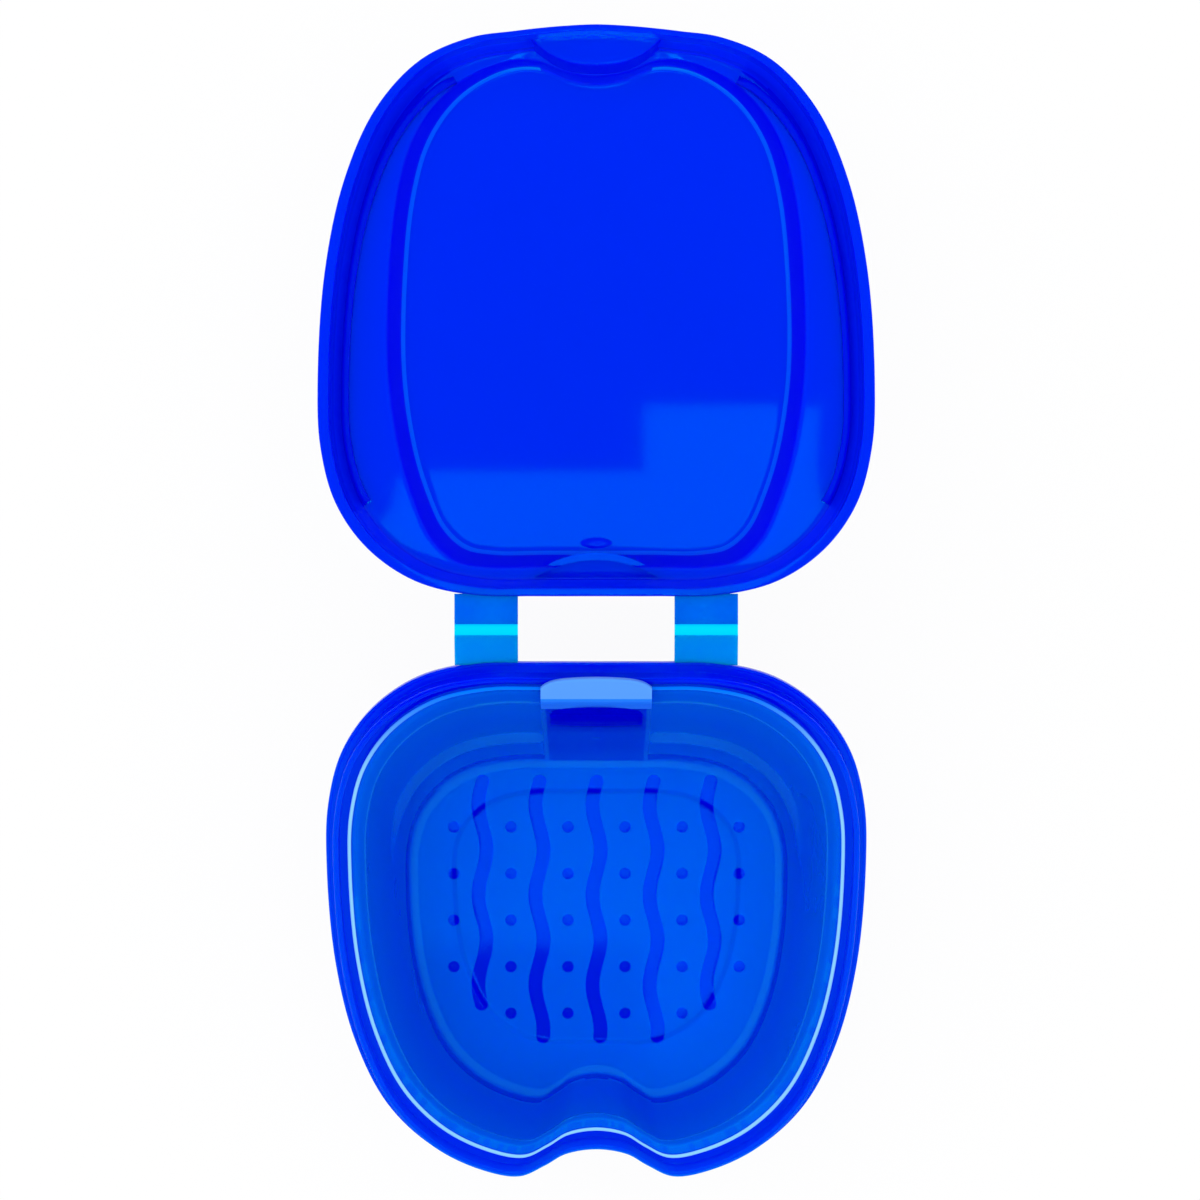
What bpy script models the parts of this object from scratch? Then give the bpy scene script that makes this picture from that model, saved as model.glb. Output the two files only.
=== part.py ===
"""Apple-shaped denture bath case, opened flat: tub, lid on two moulded hinge straps, strainer basket.

Metres, +Z up. The origin is the middle of the flat foot, the hinge is at the back (+Y) and the thumb notch
at the front (-Y). The rim is cut on a slant, so the tub is taller at the hinge than at the notch. A plan is
laid out from the hinge axis forwards, and three functions place it: level on the table, in the slanted rim
plane, or in the level plane of the opened lid.
"""

import math

import bmesh
import bpy
from mathutils import Vector

MM = 0.001

# Hinge and slanted rim
HINGE_HEIGHT = 52.0 * MM
HINGE_BACK = 50.2 * MM
RIM_TILT = math.radians(14.5)

# Rim of the tub: half width, then distances from the hinge axis
RIM_HALF_WIDTH = 43.2 * MM
RIM_REAR = 5.4 * MM
RIM_WIDEST = 37.4 * MM
RIM_FRONT = 93.2 * MM
RIM_NOTCH = 4.8 * MM
FLANGE_THICKNESS = 1.3 * MM
FLANGE_OVERHANG = 2.1 * MM
LIP_INSET = 0.9 * MM
LIP_REAR_INSET = 1.6 * MM
LIP_THICKNESS = 0.9 * MM
LIP_HEIGHT = 3.0 * MM

# Body of the tub, down to its floor
SIDE_TAPER = 6.2 * MM
REAR_TAPER = 7.8 * MM
FRONT_TAPER = 7.7 * MM
TUB_WIDEST = 41.6 * MM
TUB_NOTCH = 4.1 * MM
TUB_WALL = 2.0 * MM
TUB_FLOOR = 3.0 * MM
TUB_FILLET = 5.0 * MM
PANEL_SIDE_MARGIN = 7.1 * MM
PANEL_REAR_MARGIN = 9.7 * MM
PANEL_FRONT_MARGIN = 8.5 * MM
PANEL_DEPTH = 0.6 * MM

# Strainer basket
GROOVE_WIDTH = 1.4 * MM
GROOVE_REAR_WIDTH = 0.85 * MM
GROOVE_FRONT_WIDTH = 2.0 * MM
SEAT_GAP = 0.3 * MM
SEAT_WIDTH = 1.2 * MM
EDGE_THICKNESS = 1.2 * MM
EDGE_WIDTH = 2.9 * MM
BEAD_WIDTH = 0.6 * MM
BEAD_HEIGHT = 0.6 * MM
BASKET_WALL = 1.2 * MM
BASKET_GAP = 1.4 * MM
BASKET_REAR_GAP = 5.8 * MM
BASKET_UNDER_GAP = 2.8 * MM
BASKET_FILLET = 3.2 * MM
STEP_WIDTH = 1.4 * MM
STEP_CLEAR_SHARE = 0.95
STEP_LOW_SHARE = 0.35
STEP_HIGH_SHARE = 0.40

# Slots and drain holes of the basket floor
SLOT_COUNT = 5
SLOT_SPACING = 9.8 * MM
SLOT_WIDTH = 2.4 * MM
SLOT_REAR_MARGIN = 3.0 * MM
SLOT_FRONT_MARGIN = 9.5 * MM
OUTER_SLOT_SHORTER = 5.6 * MM
WAVE_LENGTH = 15.5 * MM
WAVE_SWING = 0.7 * MM
WAVE_START = 12.9 * MM
HOLE_COLUMNS = 6
HOLE_ROWS = 5
HOLE_RADIUS = 1.0 * MM
HOLE_ROW_SPACING = 8.0 * MM
HOLE_REAR_MARGIN = 12.0 * MM

# Handle of the basket
HANDLE_HALF_WIDTH = 8.8 * MM
HANDLE_THICKNESS = 1.6 * MM
HANDLE_PROUD = 0.8 * MM
HANDLE_LIP = 1.5 * MM
HANDLE_LIP_GAP = 0.4 * MM
HANDLE_REAR_GAP = 0.3 * MM
HANDLE_BOW = 1.4 * MM
GRIP_SIDE = 1.2 * MM
GRIP_DROP = 8.0 * MM
GRIP_TALL = 10.0 * MM
GRIP_BOW = 0.8 * MM

# Lid, laid out from the hinge axis, with heights above the rim plane as if closed
LID_OVERHANG = 1.1 * MM
LID_FRONT_OVERHANG = 3.1 * MM
LIP_CLEARANCE = 0.25 * MM
LID_GAP = 0.3 * MM
LID_WALL = 1.2 * MM
SKIRT_BAND = 2.6 * MM
SKIRT_DRAFT = 0.9 * MM
LID_REAR_WALL = 0.9 * MM
REAR_DRAFT = 0.4 * MM
LID_SHOULDER = 9.8 * MM
SHOULDER_ROUND = 1.2 * MM
LID_DEPTH = 14.4 * MM
TOP_SIDE_INSET = 13.0 * MM
TOP_REAR_INSET = 7.1 * MM
TOP_FRONT_INSET = 3.1 * MM
TOP_WIDEST = 43.8 * MM
TOP_STEP = 2.4 * MM
TOP_FRONT_STEP = 0.6 * MM
SCOOP_DEPTH = 3.4 * MM
TOP_ROUND = 0.6 * MM
RIB_INSET = 3.35 * MM
RIB_THICKNESS = 1.1 * MM
RIB_CLEARANCE = 0.4 * MM
RIB_REAR_MARGIN = 14.2 * MM
RIB_FRONT_MARGIN = 6.8 * MM
POCKET_MARGIN = 1.2 * MM
POCKET_REAR_INSET = 3.0 * MM
POCKET_REACH = 2.9 * MM
POCKET_DEPTH = 2.2 * MM

# Hinge straps; the share of the rim's half width gives each one's middle
STRAP_MIDDLE_SHARE = 0.405
STRAP_WIDTH = 10.1 * MM
STRAP_THICKNESS = 1.0 * MM
STRAP_DROP = 0.15 * MM
STRAP_ROOT = 0.9 * MM
FILM_LENGTH = 1.9 * MM
FILM_THICKNESS = 0.4 * MM
FILM_GAP = 0.05 * MM

# Share of the half width, share of the length behind (+) or before (-) the widest line, share of the notch
APPLE_SHARES = (
    (0.000, 1.000, 0.00),
    (0.220, 1.000, 0.00),
    (0.440, 0.995, 0.00),
    (0.650, 0.925, 0.00),
    (0.820, 0.765, 0.00),
    (0.935, 0.540, 0.00),
    (0.990, 0.260, 0.00),
    (1.000, -0.030, 0.00),
    (0.975, -0.330, 0.00),
    (0.905, -0.580, 0.00),
    (0.790, -0.775, 0.00),
    (0.630, -0.905, 0.00),
    (0.450, -0.978, 0.00),
    (0.300, -1.000, 0.00),
    (0.200, -1.000, 0.40),
    (0.120, -1.000, 0.82),
    (0.000, -1.000, 1.00),
)

# The same for the flat top of the lid, which is straighter at the sides and squarer at the front
TOP_SHARES = (
    (0.000, 1.000, 0.00),
    (0.270, 1.000, 0.00),
    (0.540, 1.000, 0.00),
    (0.680, 0.970, 0.00),
    (0.790, 0.870, 0.00),
    (0.870, 0.700, 0.00),
    (0.945, 0.450, 0.00),
    (1.000, 0.050, 0.00),
    (0.985, -0.330, 0.00),
    (0.960, -0.580, 0.00),
    (0.930, -0.740, 0.00),
    (0.860, -0.870, 0.00),
    (0.700, -0.960, 0.00),
    (0.450, -0.990, 0.00),
    (0.290, -1.000, 0.20),
    (0.140, -1.000, 0.80),
    (0.000, -1.000, 1.00),
)

# Counts that set how fine the surfaces are
SPAN_STEPS = 3
FILLET_STEPS = 3
HOLE_SIDES = 10
WAVE_STEPS = 5
END_STEPS = 4
ARC_STEPS = 8
HANDLE_STEPS = 6


class Plan:
    """A closed outline, mirrored in X: half width, and distances from the hinge axis to its main lines."""

    def __init__(self, half_width, rear, widest, front, notch, shares=APPLE_SHARES):
        self.half_width = half_width
        self.rear = rear
        self.widest = widest
        self.front = front
        self.notch = notch
        self.shares = shares

    def inset(self, by, rear_by=None, front_by=None):
        rear_by = by if rear_by is None else rear_by
        front_by = by if front_by is None else front_by
        return Plan(self.half_width - by, self.rear + rear_by, self.widest, self.front - front_by,
                    self.notch, self.shares)

    def without_notch(self):
        return Plan(self.half_width, self.rear, self.widest, self.front, 0, self.shares)

    def points(self):
        """Points (across, away from the hinge), from the middle of the rear round by +X."""
        half = []
        for across, along, notch in self.shares:
            length = self.widest - self.rear if along > 0 else self.front - self.widest
            half.append(Vector((across * self.half_width, self.widest - along * length - notch * self.notch)))
        mirrored = [Vector((-point.x, point.y)) for point in reversed(half[1:-1])]
        return smooth_loop(half + mirrored, SPAN_STEPS)


def smooth_loop(keys, steps):
    """A centripetal Catmull-Rom curve through the keys of a closed loop."""
    loop = []
    count = len(keys)
    for index in range(count):
        p0, p1, p2, p3 = (keys[(index + offset) % count] for offset in (-1, 0, 1, 2))
        t1 = math.sqrt((p1 - p0).length)
        t2 = t1 + math.sqrt((p2 - p1).length)
        t3 = t2 + math.sqrt((p3 - p2).length)
        for step in range(steps):
            t = t1 + (t2 - t1) * step / steps
            a1 = p0.lerp(p1, t / t1)
            a2 = p1.lerp(p2, (t - t1) / (t2 - t1))
            a3 = p2.lerp(p3, (t - t2) / (t3 - t2))
            b1 = a1.lerp(a2, t / t2)
            b2 = a2.lerp(a3, (t - t1) / (t3 - t1))
            loop.append(b1.lerp(b2, (t - t1) / (t2 - t1)))
    return loop


def on_table(across, away, height):
    """A place level with the table, the given distance from the hinge axis."""
    return Vector((across, HINGE_BACK - away, height))


def on_rim(across, away, height):
    """A place in the slanted rim plane, or above it by the height."""
    back = HINGE_BACK - away * math.cos(RIM_TILT) - height * math.sin(RIM_TILT)
    up = HINGE_HEIGHT - away * math.sin(RIM_TILT) + height * math.cos(RIM_TILT)
    return Vector((across, back, up))


def on_lid(across, away, height):
    """A place in the opened lid, whose top faces down."""
    return Vector((across, HINGE_BACK + away, HINGE_HEIGHT - height))


def ring(place, plan, height):
    return [place(point.x, point.y, height) for point in plan.points()]


def fillet_rings(flat, corner, top, reach):
    """Rings from a flat floor, round its corner and onto the wall that rises to the top ring."""
    rings = []
    for step in range(FILLET_STEPS + 1):
        share = step / FILLET_STEPS
        turned = []
        for inner, sharp, upper in zip(flat, corner, top):
            onto_wall = sharp + (upper - sharp).normalized() * reach
            turned.append(inner.lerp(sharp, share).lerp(sharp.lerp(onto_wall, share), share))
        rings.append(turned)
    return rings


def outward(points, index):
    """The level direction that points out of a ring at one of its points."""
    along = points[(index + 1) % len(points)] - points[index - 1]
    direction = Vector((along.y, -along.x, 0)).normalized()
    return direction if direction.dot(points[index] - sum(points, Vector()) / len(points)) > 0 else -direction


def add_loft(bm, rings):
    """Skins the rings with quads and closes both ends."""
    layers = [[bm.verts.new(point) for point in points] for points in rings]
    for lower, upper in zip(layers, layers[1:]):
        for index in range(len(lower)):
            after = (index + 1) % len(lower)
            bm.faces.new((lower[index], lower[after], upper[after], upper[index]))
    bm.faces.new(reversed(layers[0]))
    bm.faces.new(layers[-1])


def new_object(name, lofts, origin, collection, material=None):
    """A mesh object made of closed lofts, with its origin at the given place."""
    bm = bmesh.new()
    for rings in lofts:
        add_loft(bm, rings)
    bmesh.ops.translate(bm, verts=bm.verts, vec=-origin)
    bmesh.ops.recalc_face_normals(bm, faces=bm.faces)
    mesh = bpy.data.meshes.new(name)
    bm.to_mesh(mesh)
    bm.free()
    mesh.shade_smooth()
    mesh.set_sharp_from_angle(angle=math.radians(35))
    item = bpy.data.objects.new(name, mesh)
    item.location = origin
    collection.objects.link(item)
    if material:
        mesh.materials.append(material)
    return item


def new_tool(name, lofts, collection):
    """A solid that only shapes others, shown as a wire."""
    tool = new_object(name, lofts, Vector(), collection)
    tool.hide_render = True
    tool.display_type = "WIRE"
    return tool


def shape_with(item, tool, operation):
    boolean = item.modifiers.new(tool.name, "BOOLEAN")
    boolean.object = tool
    boolean.operation = operation
    boolean.solver = "EXACT"


def new_plastic(name, colour, roughness, alpha):
    material = bpy.data.materials.new(name)
    material.use_nodes = True
    shader = material.node_tree.nodes["Principled BSDF"]
    shader.inputs["Base Color"].default_value = (*colour, 1.0)
    shader.inputs["Roughness"].default_value = roughness
    shader.inputs["Metallic"].default_value = 0.0
    shader.inputs["Alpha"].default_value = alpha
    material.diffuse_color = (*colour, alpha)
    return material


def rim_plan():
    return Plan(RIM_HALF_WIDTH, RIM_REAR, RIM_WIDEST, RIM_FRONT, RIM_NOTCH)


def body_plan():
    """The tub's outline where its wall would meet the table without the fillet."""
    return Plan(RIM_HALF_WIDTH - SIDE_TAPER, RIM_REAR + REAR_TAPER, TUB_WIDEST,
                RIM_FRONT - FRONT_TAPER, TUB_NOTCH)


def lip_plan():
    return rim_plan().inset(LIP_INSET, rear_by=LIP_REAR_INSET)


def edge_plan():
    """The basket's edge, which lies inside the lip across the groove."""
    return lip_plan().inset(LIP_THICKNESS).inset(GROOVE_WIDTH, GROOVE_REAR_WIDTH, GROOVE_FRONT_WIDTH)


def floor_plan():
    """The basket's floor, inside the tub by the gaps and both walls."""
    wall = TUB_WALL + BASKET_WALL
    return body_plan().inset(wall + BASKET_GAP, rear_by=wall + BASKET_REAR_GAP)


def basket_height():
    """Height of the top of the basket's floor."""
    return TUB_FLOOR + BASKET_UNDER_GAP + BASKET_WALL


def handle_height():
    """Height of the top of the handle's lip, which passes over the tub's lip, above the rim plane."""
    return LIP_HEIGHT + HANDLE_LIP_GAP + HANDLE_LIP


def lid_plan():
    return rim_plan().inset(-LID_OVERHANG, rear_by=0, front_by=-LID_FRONT_OVERHANG).without_notch()


def tub_rings():
    """The tub as one skin: under the foot, up the outside, over flange, lip and seat, and down the inside."""
    rim = rim_plan()
    body = body_plan()
    outside_top = ring(on_rim, rim.inset(FLANGE_OVERHANG), -FLANGE_THICKNESS)
    foot = ring(on_table, body.inset(TUB_FILLET), 0)
    rings = fillet_rings(foot, ring(on_table, body, 0), outside_top, TUB_FILLET)
    rings.append(outside_top)
    rings.append(ring(on_rim, rim, -FLANGE_THICKNESS))
    rings.append(ring(on_rim, rim, 0))
    lip = lip_plan()
    lip_inside = lip.inset(LIP_THICKNESS)
    rings.append(ring(on_rim, lip, 0))
    rings.append(ring(on_rim, lip, LIP_HEIGHT))
    rings.append(ring(on_rim, lip_inside, LIP_HEIGHT))
    rings.append(ring(on_rim, lip_inside, 0))
    mouth = ring(on_rim, edge_plan().inset(SEAT_WIDTH), 0)
    rings.append(mouth)
    inside = body.inset(TUB_WALL)
    reach = TUB_FILLET - TUB_WALL
    floor = inside.inset(reach)
    floor_edge = ring(on_table, floor, TUB_FLOOR)
    corner = ring(on_table, inside, TUB_FLOOR)
    rings += reversed(fillet_rings(floor_edge, corner, mouth, reach))
    panel = floor.inset(PANEL_SIDE_MARGIN, PANEL_REAR_MARGIN, PANEL_FRONT_MARGIN).without_notch()
    rings.append(ring(on_table, panel, TUB_FLOOR))
    rings.append(ring(on_table, panel.inset(PANEL_DEPTH), TUB_FLOOR - PANEL_DEPTH))
    return rings


def stepped_ring(corner, top, share, shift):
    """A ring a share of the way up the wall, pushed out or in round the rear, but not behind the handle."""
    moved = []
    for index, (low, high) in enumerate(zip(corner, top)):
        point = low.lerp(high, share)
        rearness = (low.y - (HINGE_BACK - TUB_WIDEST)) / (TUB_WIDEST - floor_plan().rear)
        weight = min(max(2 * rearness, 0), 1)
        if abs(low.x) < HANDLE_HALF_WIDTH * STEP_CLEAR_SHARE:
            weight = 0
        moved.append(point + outward(corner, index) * shift * weight)
    return moved


def wall_rings(plan, height, reach, top):
    """Rings of one side of the basket wall, from its floor to the given top ring."""
    corner = ring(on_table, plan, height)
    rings = fillet_rings(ring(on_table, plan.inset(reach), height), corner, top, reach)
    rings.append(stepped_ring(corner, top, STEP_LOW_SHARE, -STEP_WIDTH / 2))
    rings.append(stepped_ring(corner, top, STEP_HIGH_SHARE, STEP_WIDTH / 2))
    rings.append(top)
    return rings


def basket_rings():
    """The basket as one skin: under the floor, up the outside, over the edge and bead, down the inside."""
    edge = edge_plan()
    inner_edge = edge.inset(EDGE_WIDTH)
    top = SEAT_GAP + EDGE_THICKNESS
    floor = floor_plan()
    height = basket_height()
    under_edge = ring(on_rim, inner_edge.inset(-BASKET_WALL), SEAT_GAP)
    reach = BASKET_FILLET + BASKET_WALL
    rings = wall_rings(floor.inset(-BASKET_WALL), height - BASKET_WALL, reach, under_edge)
    rings.append(ring(on_rim, edge, SEAT_GAP))
    rings.append(ring(on_rim, edge, top + BEAD_HEIGHT))
    rings.append(ring(on_rim, edge.inset(BEAD_WIDTH), top + BEAD_HEIGHT))
    rings.append(ring(on_rim, edge.inset(BEAD_WIDTH), top))
    rings += reversed(wall_rings(floor, height, BASKET_FILLET, ring(on_rim, inner_edge, top)))
    return rings


def slot_outline(across, rear, front):
    """A wavy slot with round ends, as points (across, away from the hinge)."""
    def middle(away):
        return across + WAVE_SWING * math.cos(2 * math.pi * (away - rear - WAVE_START) / WAVE_LENGTH)

    radius = SLOT_WIDTH / 2
    start = rear + radius
    end = front - radius
    steps = math.ceil(WAVE_STEPS * (end - start) / WAVE_LENGTH)
    places = [start + (end - start) * step / steps for step in range(steps + 1)]
    outline = [Vector((middle(away) + radius, away)) for away in places]
    for step in range(1, END_STEPS):
        angle = math.pi * step / END_STEPS
        outline.append(Vector((middle(end) + radius * math.cos(angle), end + radius * math.sin(angle))))
    outline += [Vector((middle(away) - radius, away)) for away in reversed(places)]
    for step in range(1, END_STEPS):
        angle = math.pi * step / END_STEPS
        outline.append(Vector((middle(start) - radius * math.cos(angle), start - radius * math.sin(angle))))
    return outline


def circle_outline(across, away, radius):
    angles = [2 * math.pi * side / HOLE_SIDES for side in range(HOLE_SIDES)]
    return [Vector((across + radius * math.cos(angle), away + radius * math.sin(angle))) for angle in angles]


def prism(place, outline, low, high):
    """The two rings of a prism that stands on a place function."""
    return [[place(point.x, point.y, height) for point in outline] for height in (low, high)]


def drain_prisms():
    """Cutters for the wavy slots and the rows of holes; the outer columns lack the last hole."""
    low = basket_height() - 2 * BASKET_WALL
    high = basket_height() + BASKET_WALL
    floor = floor_plan()
    slot_rear = floor.rear + SLOT_REAR_MARGIN
    slot_front = floor.front - SLOT_FRONT_MARGIN
    prisms = []
    for column in range(SLOT_COUNT):
        offset = column - (SLOT_COUNT - 1) / 2
        shorter = OUTER_SLOT_SHORTER if column in (0, SLOT_COUNT - 1) else 0
        outline = slot_outline(offset * SLOT_SPACING, slot_rear, slot_front - shorter)
        prisms.append(prism(on_table, outline, low, high))
    for column in range(HOLE_COLUMNS):
        offset = column - (HOLE_COLUMNS - 1) / 2
        outer = column in (0, HOLE_COLUMNS - 1)
        for row in range(HOLE_ROWS - 1 if outer else HOLE_ROWS):
            away = floor.rear + HOLE_REAR_MARGIN + row * HOLE_ROW_SPACING
            outline = circle_outline(offset * SLOT_SPACING, away, HOLE_RADIUS)
            prisms.append(prism(on_table, outline, low, high))
    return prisms


def handle_rings():
    """The leaning handle plate with its hooked lip, as the same profile at places across the basket."""
    top_back = edge_plan().rear + EDGE_WIDTH
    edge_top = SEAT_GAP + EDGE_THICKNESS
    rise = handle_height()
    foot = on_table(0, floor_plan().rear, basket_height() - BASKET_WALL / 2)
    knee = on_rim(0, top_back, edge_top)
    along = (knee - foot).normalized()
    through = Vector((0, along.z, -along.y))
    rings = []
    for step in range(HANDLE_STEPS + 1):
        share = 2 * step / HANDLE_STEPS - 1
        across = Vector((share * HANDLE_HALF_WIDTH, 0, 0))
        rear = RIM_REAR + LID_REAR_WALL + HANDLE_REAR_GAP + HANDLE_BOW * share * share
        bend = top_back + HANDLE_PROUD - HANDLE_LIP
        profile = [
            foot - through * HANDLE_PROUD,
            knee - through * HANDLE_PROUD,
            on_rim(0, bend, rise - HANDLE_LIP / 2),
            on_rim(0, bend - HANDLE_LIP / 2, rise),
            on_rim(0, rear, rise),
            on_rim(0, rear, rise - HANDLE_LIP),
            on_rim(0, bend - HANDLE_THICKNESS, rise - HANDLE_LIP),
            knee + through * (HANDLE_THICKNESS - HANDLE_PROUD),
            foot + through * (HANDLE_THICKNESS - HANDLE_PROUD),
        ]
        rings.append([point + across for point in profile])
    return rings


def grip_rings():
    """Cutter for the finger slot in the handle, bowed at its top."""
    half = HANDLE_HALF_WIDTH - GRIP_SIDE
    high = HINGE_HEIGHT - GRIP_DROP
    outline = [Vector((half, high - GRIP_TALL)), Vector((-half, high - GRIP_TALL))]
    for step in range(ARC_STEPS + 1):
        share = 2 * step / ARC_STEPS - 1
        outline.append(Vector((share * half, high - GRIP_BOW * share * share)))
    front = HINGE_BACK - floor_plan().rear
    return [[Vector((point.x, back, point.y)) for point in outline] for back in (front, HINGE_BACK)]


def lid_rings():
    """The lid as one skin: up the outside over skirt, shoulder and top, then back down the inside."""
    lid = lid_plan()
    drafted = lid.inset(SKIRT_DRAFT, rear_by=REAR_DRAFT)
    top = Plan(lid.half_width - TOP_SIDE_INSET, lid.rear + TOP_REAR_INSET, TOP_WIDEST,
               lid.front - TOP_FRONT_INSET, SCOOP_DEPTH, TOP_SHARES)
    step_foot = top.inset(-TOP_STEP, front_by=-TOP_FRONT_STEP)
    skirt_thickness = LID_OVERHANG + LIP_INSET - LIP_CLEARANCE
    skirt = lid.inset(skirt_thickness, rear_by=LIP_REAR_INSET - LIP_CLEARANCE)
    high_skirt = lid.inset(skirt_thickness, rear_by=LID_REAR_WALL)
    wall = drafted.inset(LID_WALL)
    shoulder = LID_SHOULDER
    outside = [
        (lid, LID_GAP),
        (lid, SKIRT_BAND),
        (drafted, shoulder - SHOULDER_ROUND),
        (drafted.inset(SHOULDER_ROUND / 2, front_by=0), shoulder),
        (drafted.inset(SHOULDER_ROUND * 2, front_by=0), shoulder + LID_WALL),
        (step_foot.inset(-LID_WALL, front_by=-LID_WALL / 2), shoulder + LID_WALL),
        (top.inset(-LID_WALL, front_by=-LID_WALL / 2), LID_DEPTH + LID_WALL - TOP_ROUND),
        (top, LID_DEPTH + LID_WALL),
    ]
    inside = [
        (skirt, LID_GAP),
        (skirt, SKIRT_BAND),
        (high_skirt, SKIRT_BAND + LID_GAP),
        (high_skirt, handle_height() + LID_GAP),
        (wall, shoulder - SHOULDER_ROUND * 2),
        (wall.inset(SHOULDER_ROUND, front_by=0), shoulder - SHOULDER_ROUND / 2),
        (step_foot, shoulder),
        (top, LID_DEPTH - TOP_ROUND),
        (top.inset(TOP_ROUND), LID_DEPTH),
    ]
    rings = [ring(on_lid, plan, height) for plan, height in reversed(outside)]
    rings += [ring(on_lid, plan, height) for plan, height in inside]
    return rings


def rib_rings(side):
    """A curved rib beside the skirt, from near the hinge to near the front."""
    lid = lid_plan()
    outer = lid.inset(RIB_INSET)
    inner = outer.inset(RIB_THICKNESS)
    low = LIP_HEIGHT + RIB_CLEARANCE
    high = LID_SHOULDER + LID_WALL / 2
    rings = []
    for near, far in zip(outer.points(), inner.points()):
        if near.x > 0 and lid.rear + RIB_REAR_MARGIN < near.y < lid.front - RIB_FRONT_MARGIN:
            rings.append([on_lid(side * point.x, point.y, height)
                          for point, height in ((near, low), (far, low), (far, high), (near, high))])
    return rings


def pocket_outline(margin):
    """The D-shaped outline of the rear pocket: a straight chord and a bowed side."""
    half = HANDLE_HALF_WIDTH + POCKET_MARGIN + margin
    rear = RIM_REAR + POCKET_REAR_INSET
    outline = []
    for step in range(ARC_STEPS + 1):
        share = 2 * step / ARC_STEPS - 1
        outline.append(Vector((share * half, rear + (POCKET_REACH + margin) * (1 - share * share))))
    outline.append(Vector((half, rear - margin)))
    outline.append(Vector((-half, rear - margin)))
    return outline


def strap_prism(place, side, root, low, high):
    """One leaf of a hinge strap, from its film to its root."""
    middle = side * STRAP_MIDDLE_SHARE * RIM_HALF_WIDTH
    near = FILM_LENGTH / 2
    corners = [(middle - STRAP_WIDTH / 2, near), (middle + STRAP_WIDTH / 2, near),
               (middle + STRAP_WIDTH / 2, root), (middle - STRAP_WIDTH / 2, root)]
    return prism(place, [Vector(corner) for corner in corners], low, high)


def film_rings(side):
    """The thin film between the two leaves, standing off both by the film gap."""
    middle = side * STRAP_MIDDLE_SHARE * RIM_HALF_WIDTH
    base_centre = -STRAP_DROP - STRAP_THICKNESS / 2
    lid_centre = STRAP_DROP + LID_GAP + STRAP_THICKNESS / 2
    rings = []
    for place, centre in ((on_rim, base_centre), (on_lid, lid_centre)):
        away = FILM_LENGTH / 2 - FILM_GAP
        half = FILM_THICKNESS / 2
        rings.append([place(middle + across, away, centre + height)
                      for across, height in ((-STRAP_WIDTH / 2, -half), (STRAP_WIDTH / 2, -half),
                                             (STRAP_WIDTH / 2, half), (-STRAP_WIDTH / 2, half))])
    rings[1] = [rings[1][index] for index in (3, 2, 1, 0)]
    return rings


def build():
    for item in list(bpy.data.objects):
        bpy.data.objects.remove(item, do_unlink=True)
    case = bpy.data.collections.new("denture_case")
    tools = bpy.data.collections.new("cutters_and_joined_forms")
    bpy.context.scene.collection.children.link(case)
    bpy.context.scene.collection.children.link(tools)
    blue = new_plastic("blue_plastic", (0.0, 0.03, 0.80), 0.22, 1.0)
    lid_blue = new_plastic("lid_plastic", (0.0, 0.04, 0.85), 0.22, 1.0)
    film = new_plastic("thin_blue_plastic", (0.0, 0.60, 1.0), 0.30, 1.0)
    natural = new_plastic("natural_plastic", (0.25, 0.50, 1.0), 0.35, 0.6)
    hinge = Vector((0, HINGE_BACK, HINGE_HEIGHT))

    tub = new_object("base_tub", [tub_rings()], Vector(), case, blue)
    leaf = [strap_prism(on_rim, side, RIM_REAR + STRAP_ROOT, -STRAP_DROP - STRAP_THICKNESS, -STRAP_DROP)
            for side in (-1, 1)]
    shape_with(tub, new_tool("base_leaves", leaf, tools), "UNION")

    lid = new_object("lid_shell", [lid_rings()], hinge, case, lid_blue)
    low = STRAP_DROP + LID_GAP
    leaf = [strap_prism(on_lid, side, RIM_REAR + STRAP_ROOT, low, low + STRAP_THICKNESS) for side in (-1, 1)]
    shape_with(lid, new_tool("lid_leaves", leaf, tools), "UNION")
    shape_with(lid, new_tool("lid_ribs", [rib_rings(-1), rib_rings(1)], tools), "UNION")
    pocket_top = LID_SHOULDER + POCKET_DEPTH
    boss = prism(on_lid, pocket_outline(LID_WALL), LID_SHOULDER + LID_WALL / 2, pocket_top + LID_WALL)
    shape_with(lid, new_tool("pocket_boss", [boss], tools), "UNION")
    pocket = prism(on_lid, pocket_outline(0), LID_SHOULDER - LID_WALL, pocket_top)
    shape_with(lid, new_tool("pocket", [pocket], tools), "DIFFERENCE")

    for name, side in (("hinge_film_left", -1), ("hinge_film_right", 1)):
        new_object(name, [film_rings(side)], hinge, case, film)

    middle = on_table(0, TUB_WIDEST, basket_height())
    basket = new_object("strainer_basket", [basket_rings()], middle, case, natural)
    shape_with(basket, new_tool("handle", [handle_rings()], tools), "UNION")
    shape_with(basket, new_tool("grip_slot", [grip_rings()], tools), "DIFFERENCE")
    shape_with(basket, new_tool("drain_openings", drain_prisms(), tools), "DIFFERENCE")


build()
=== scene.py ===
"""Looks of the apple-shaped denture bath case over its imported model, seen straight down as in the photo.

Metres, +Z up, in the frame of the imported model: the hinge is at the back (+Y), the thumb notch at the front.
Each moulded piece is a closed skin through rings. A plan is laid out from the hinge axis forwards, and three
functions place it: level on the table, in the slanted rim plane, or in the level plane of the opened lid.
"""

import math

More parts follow.
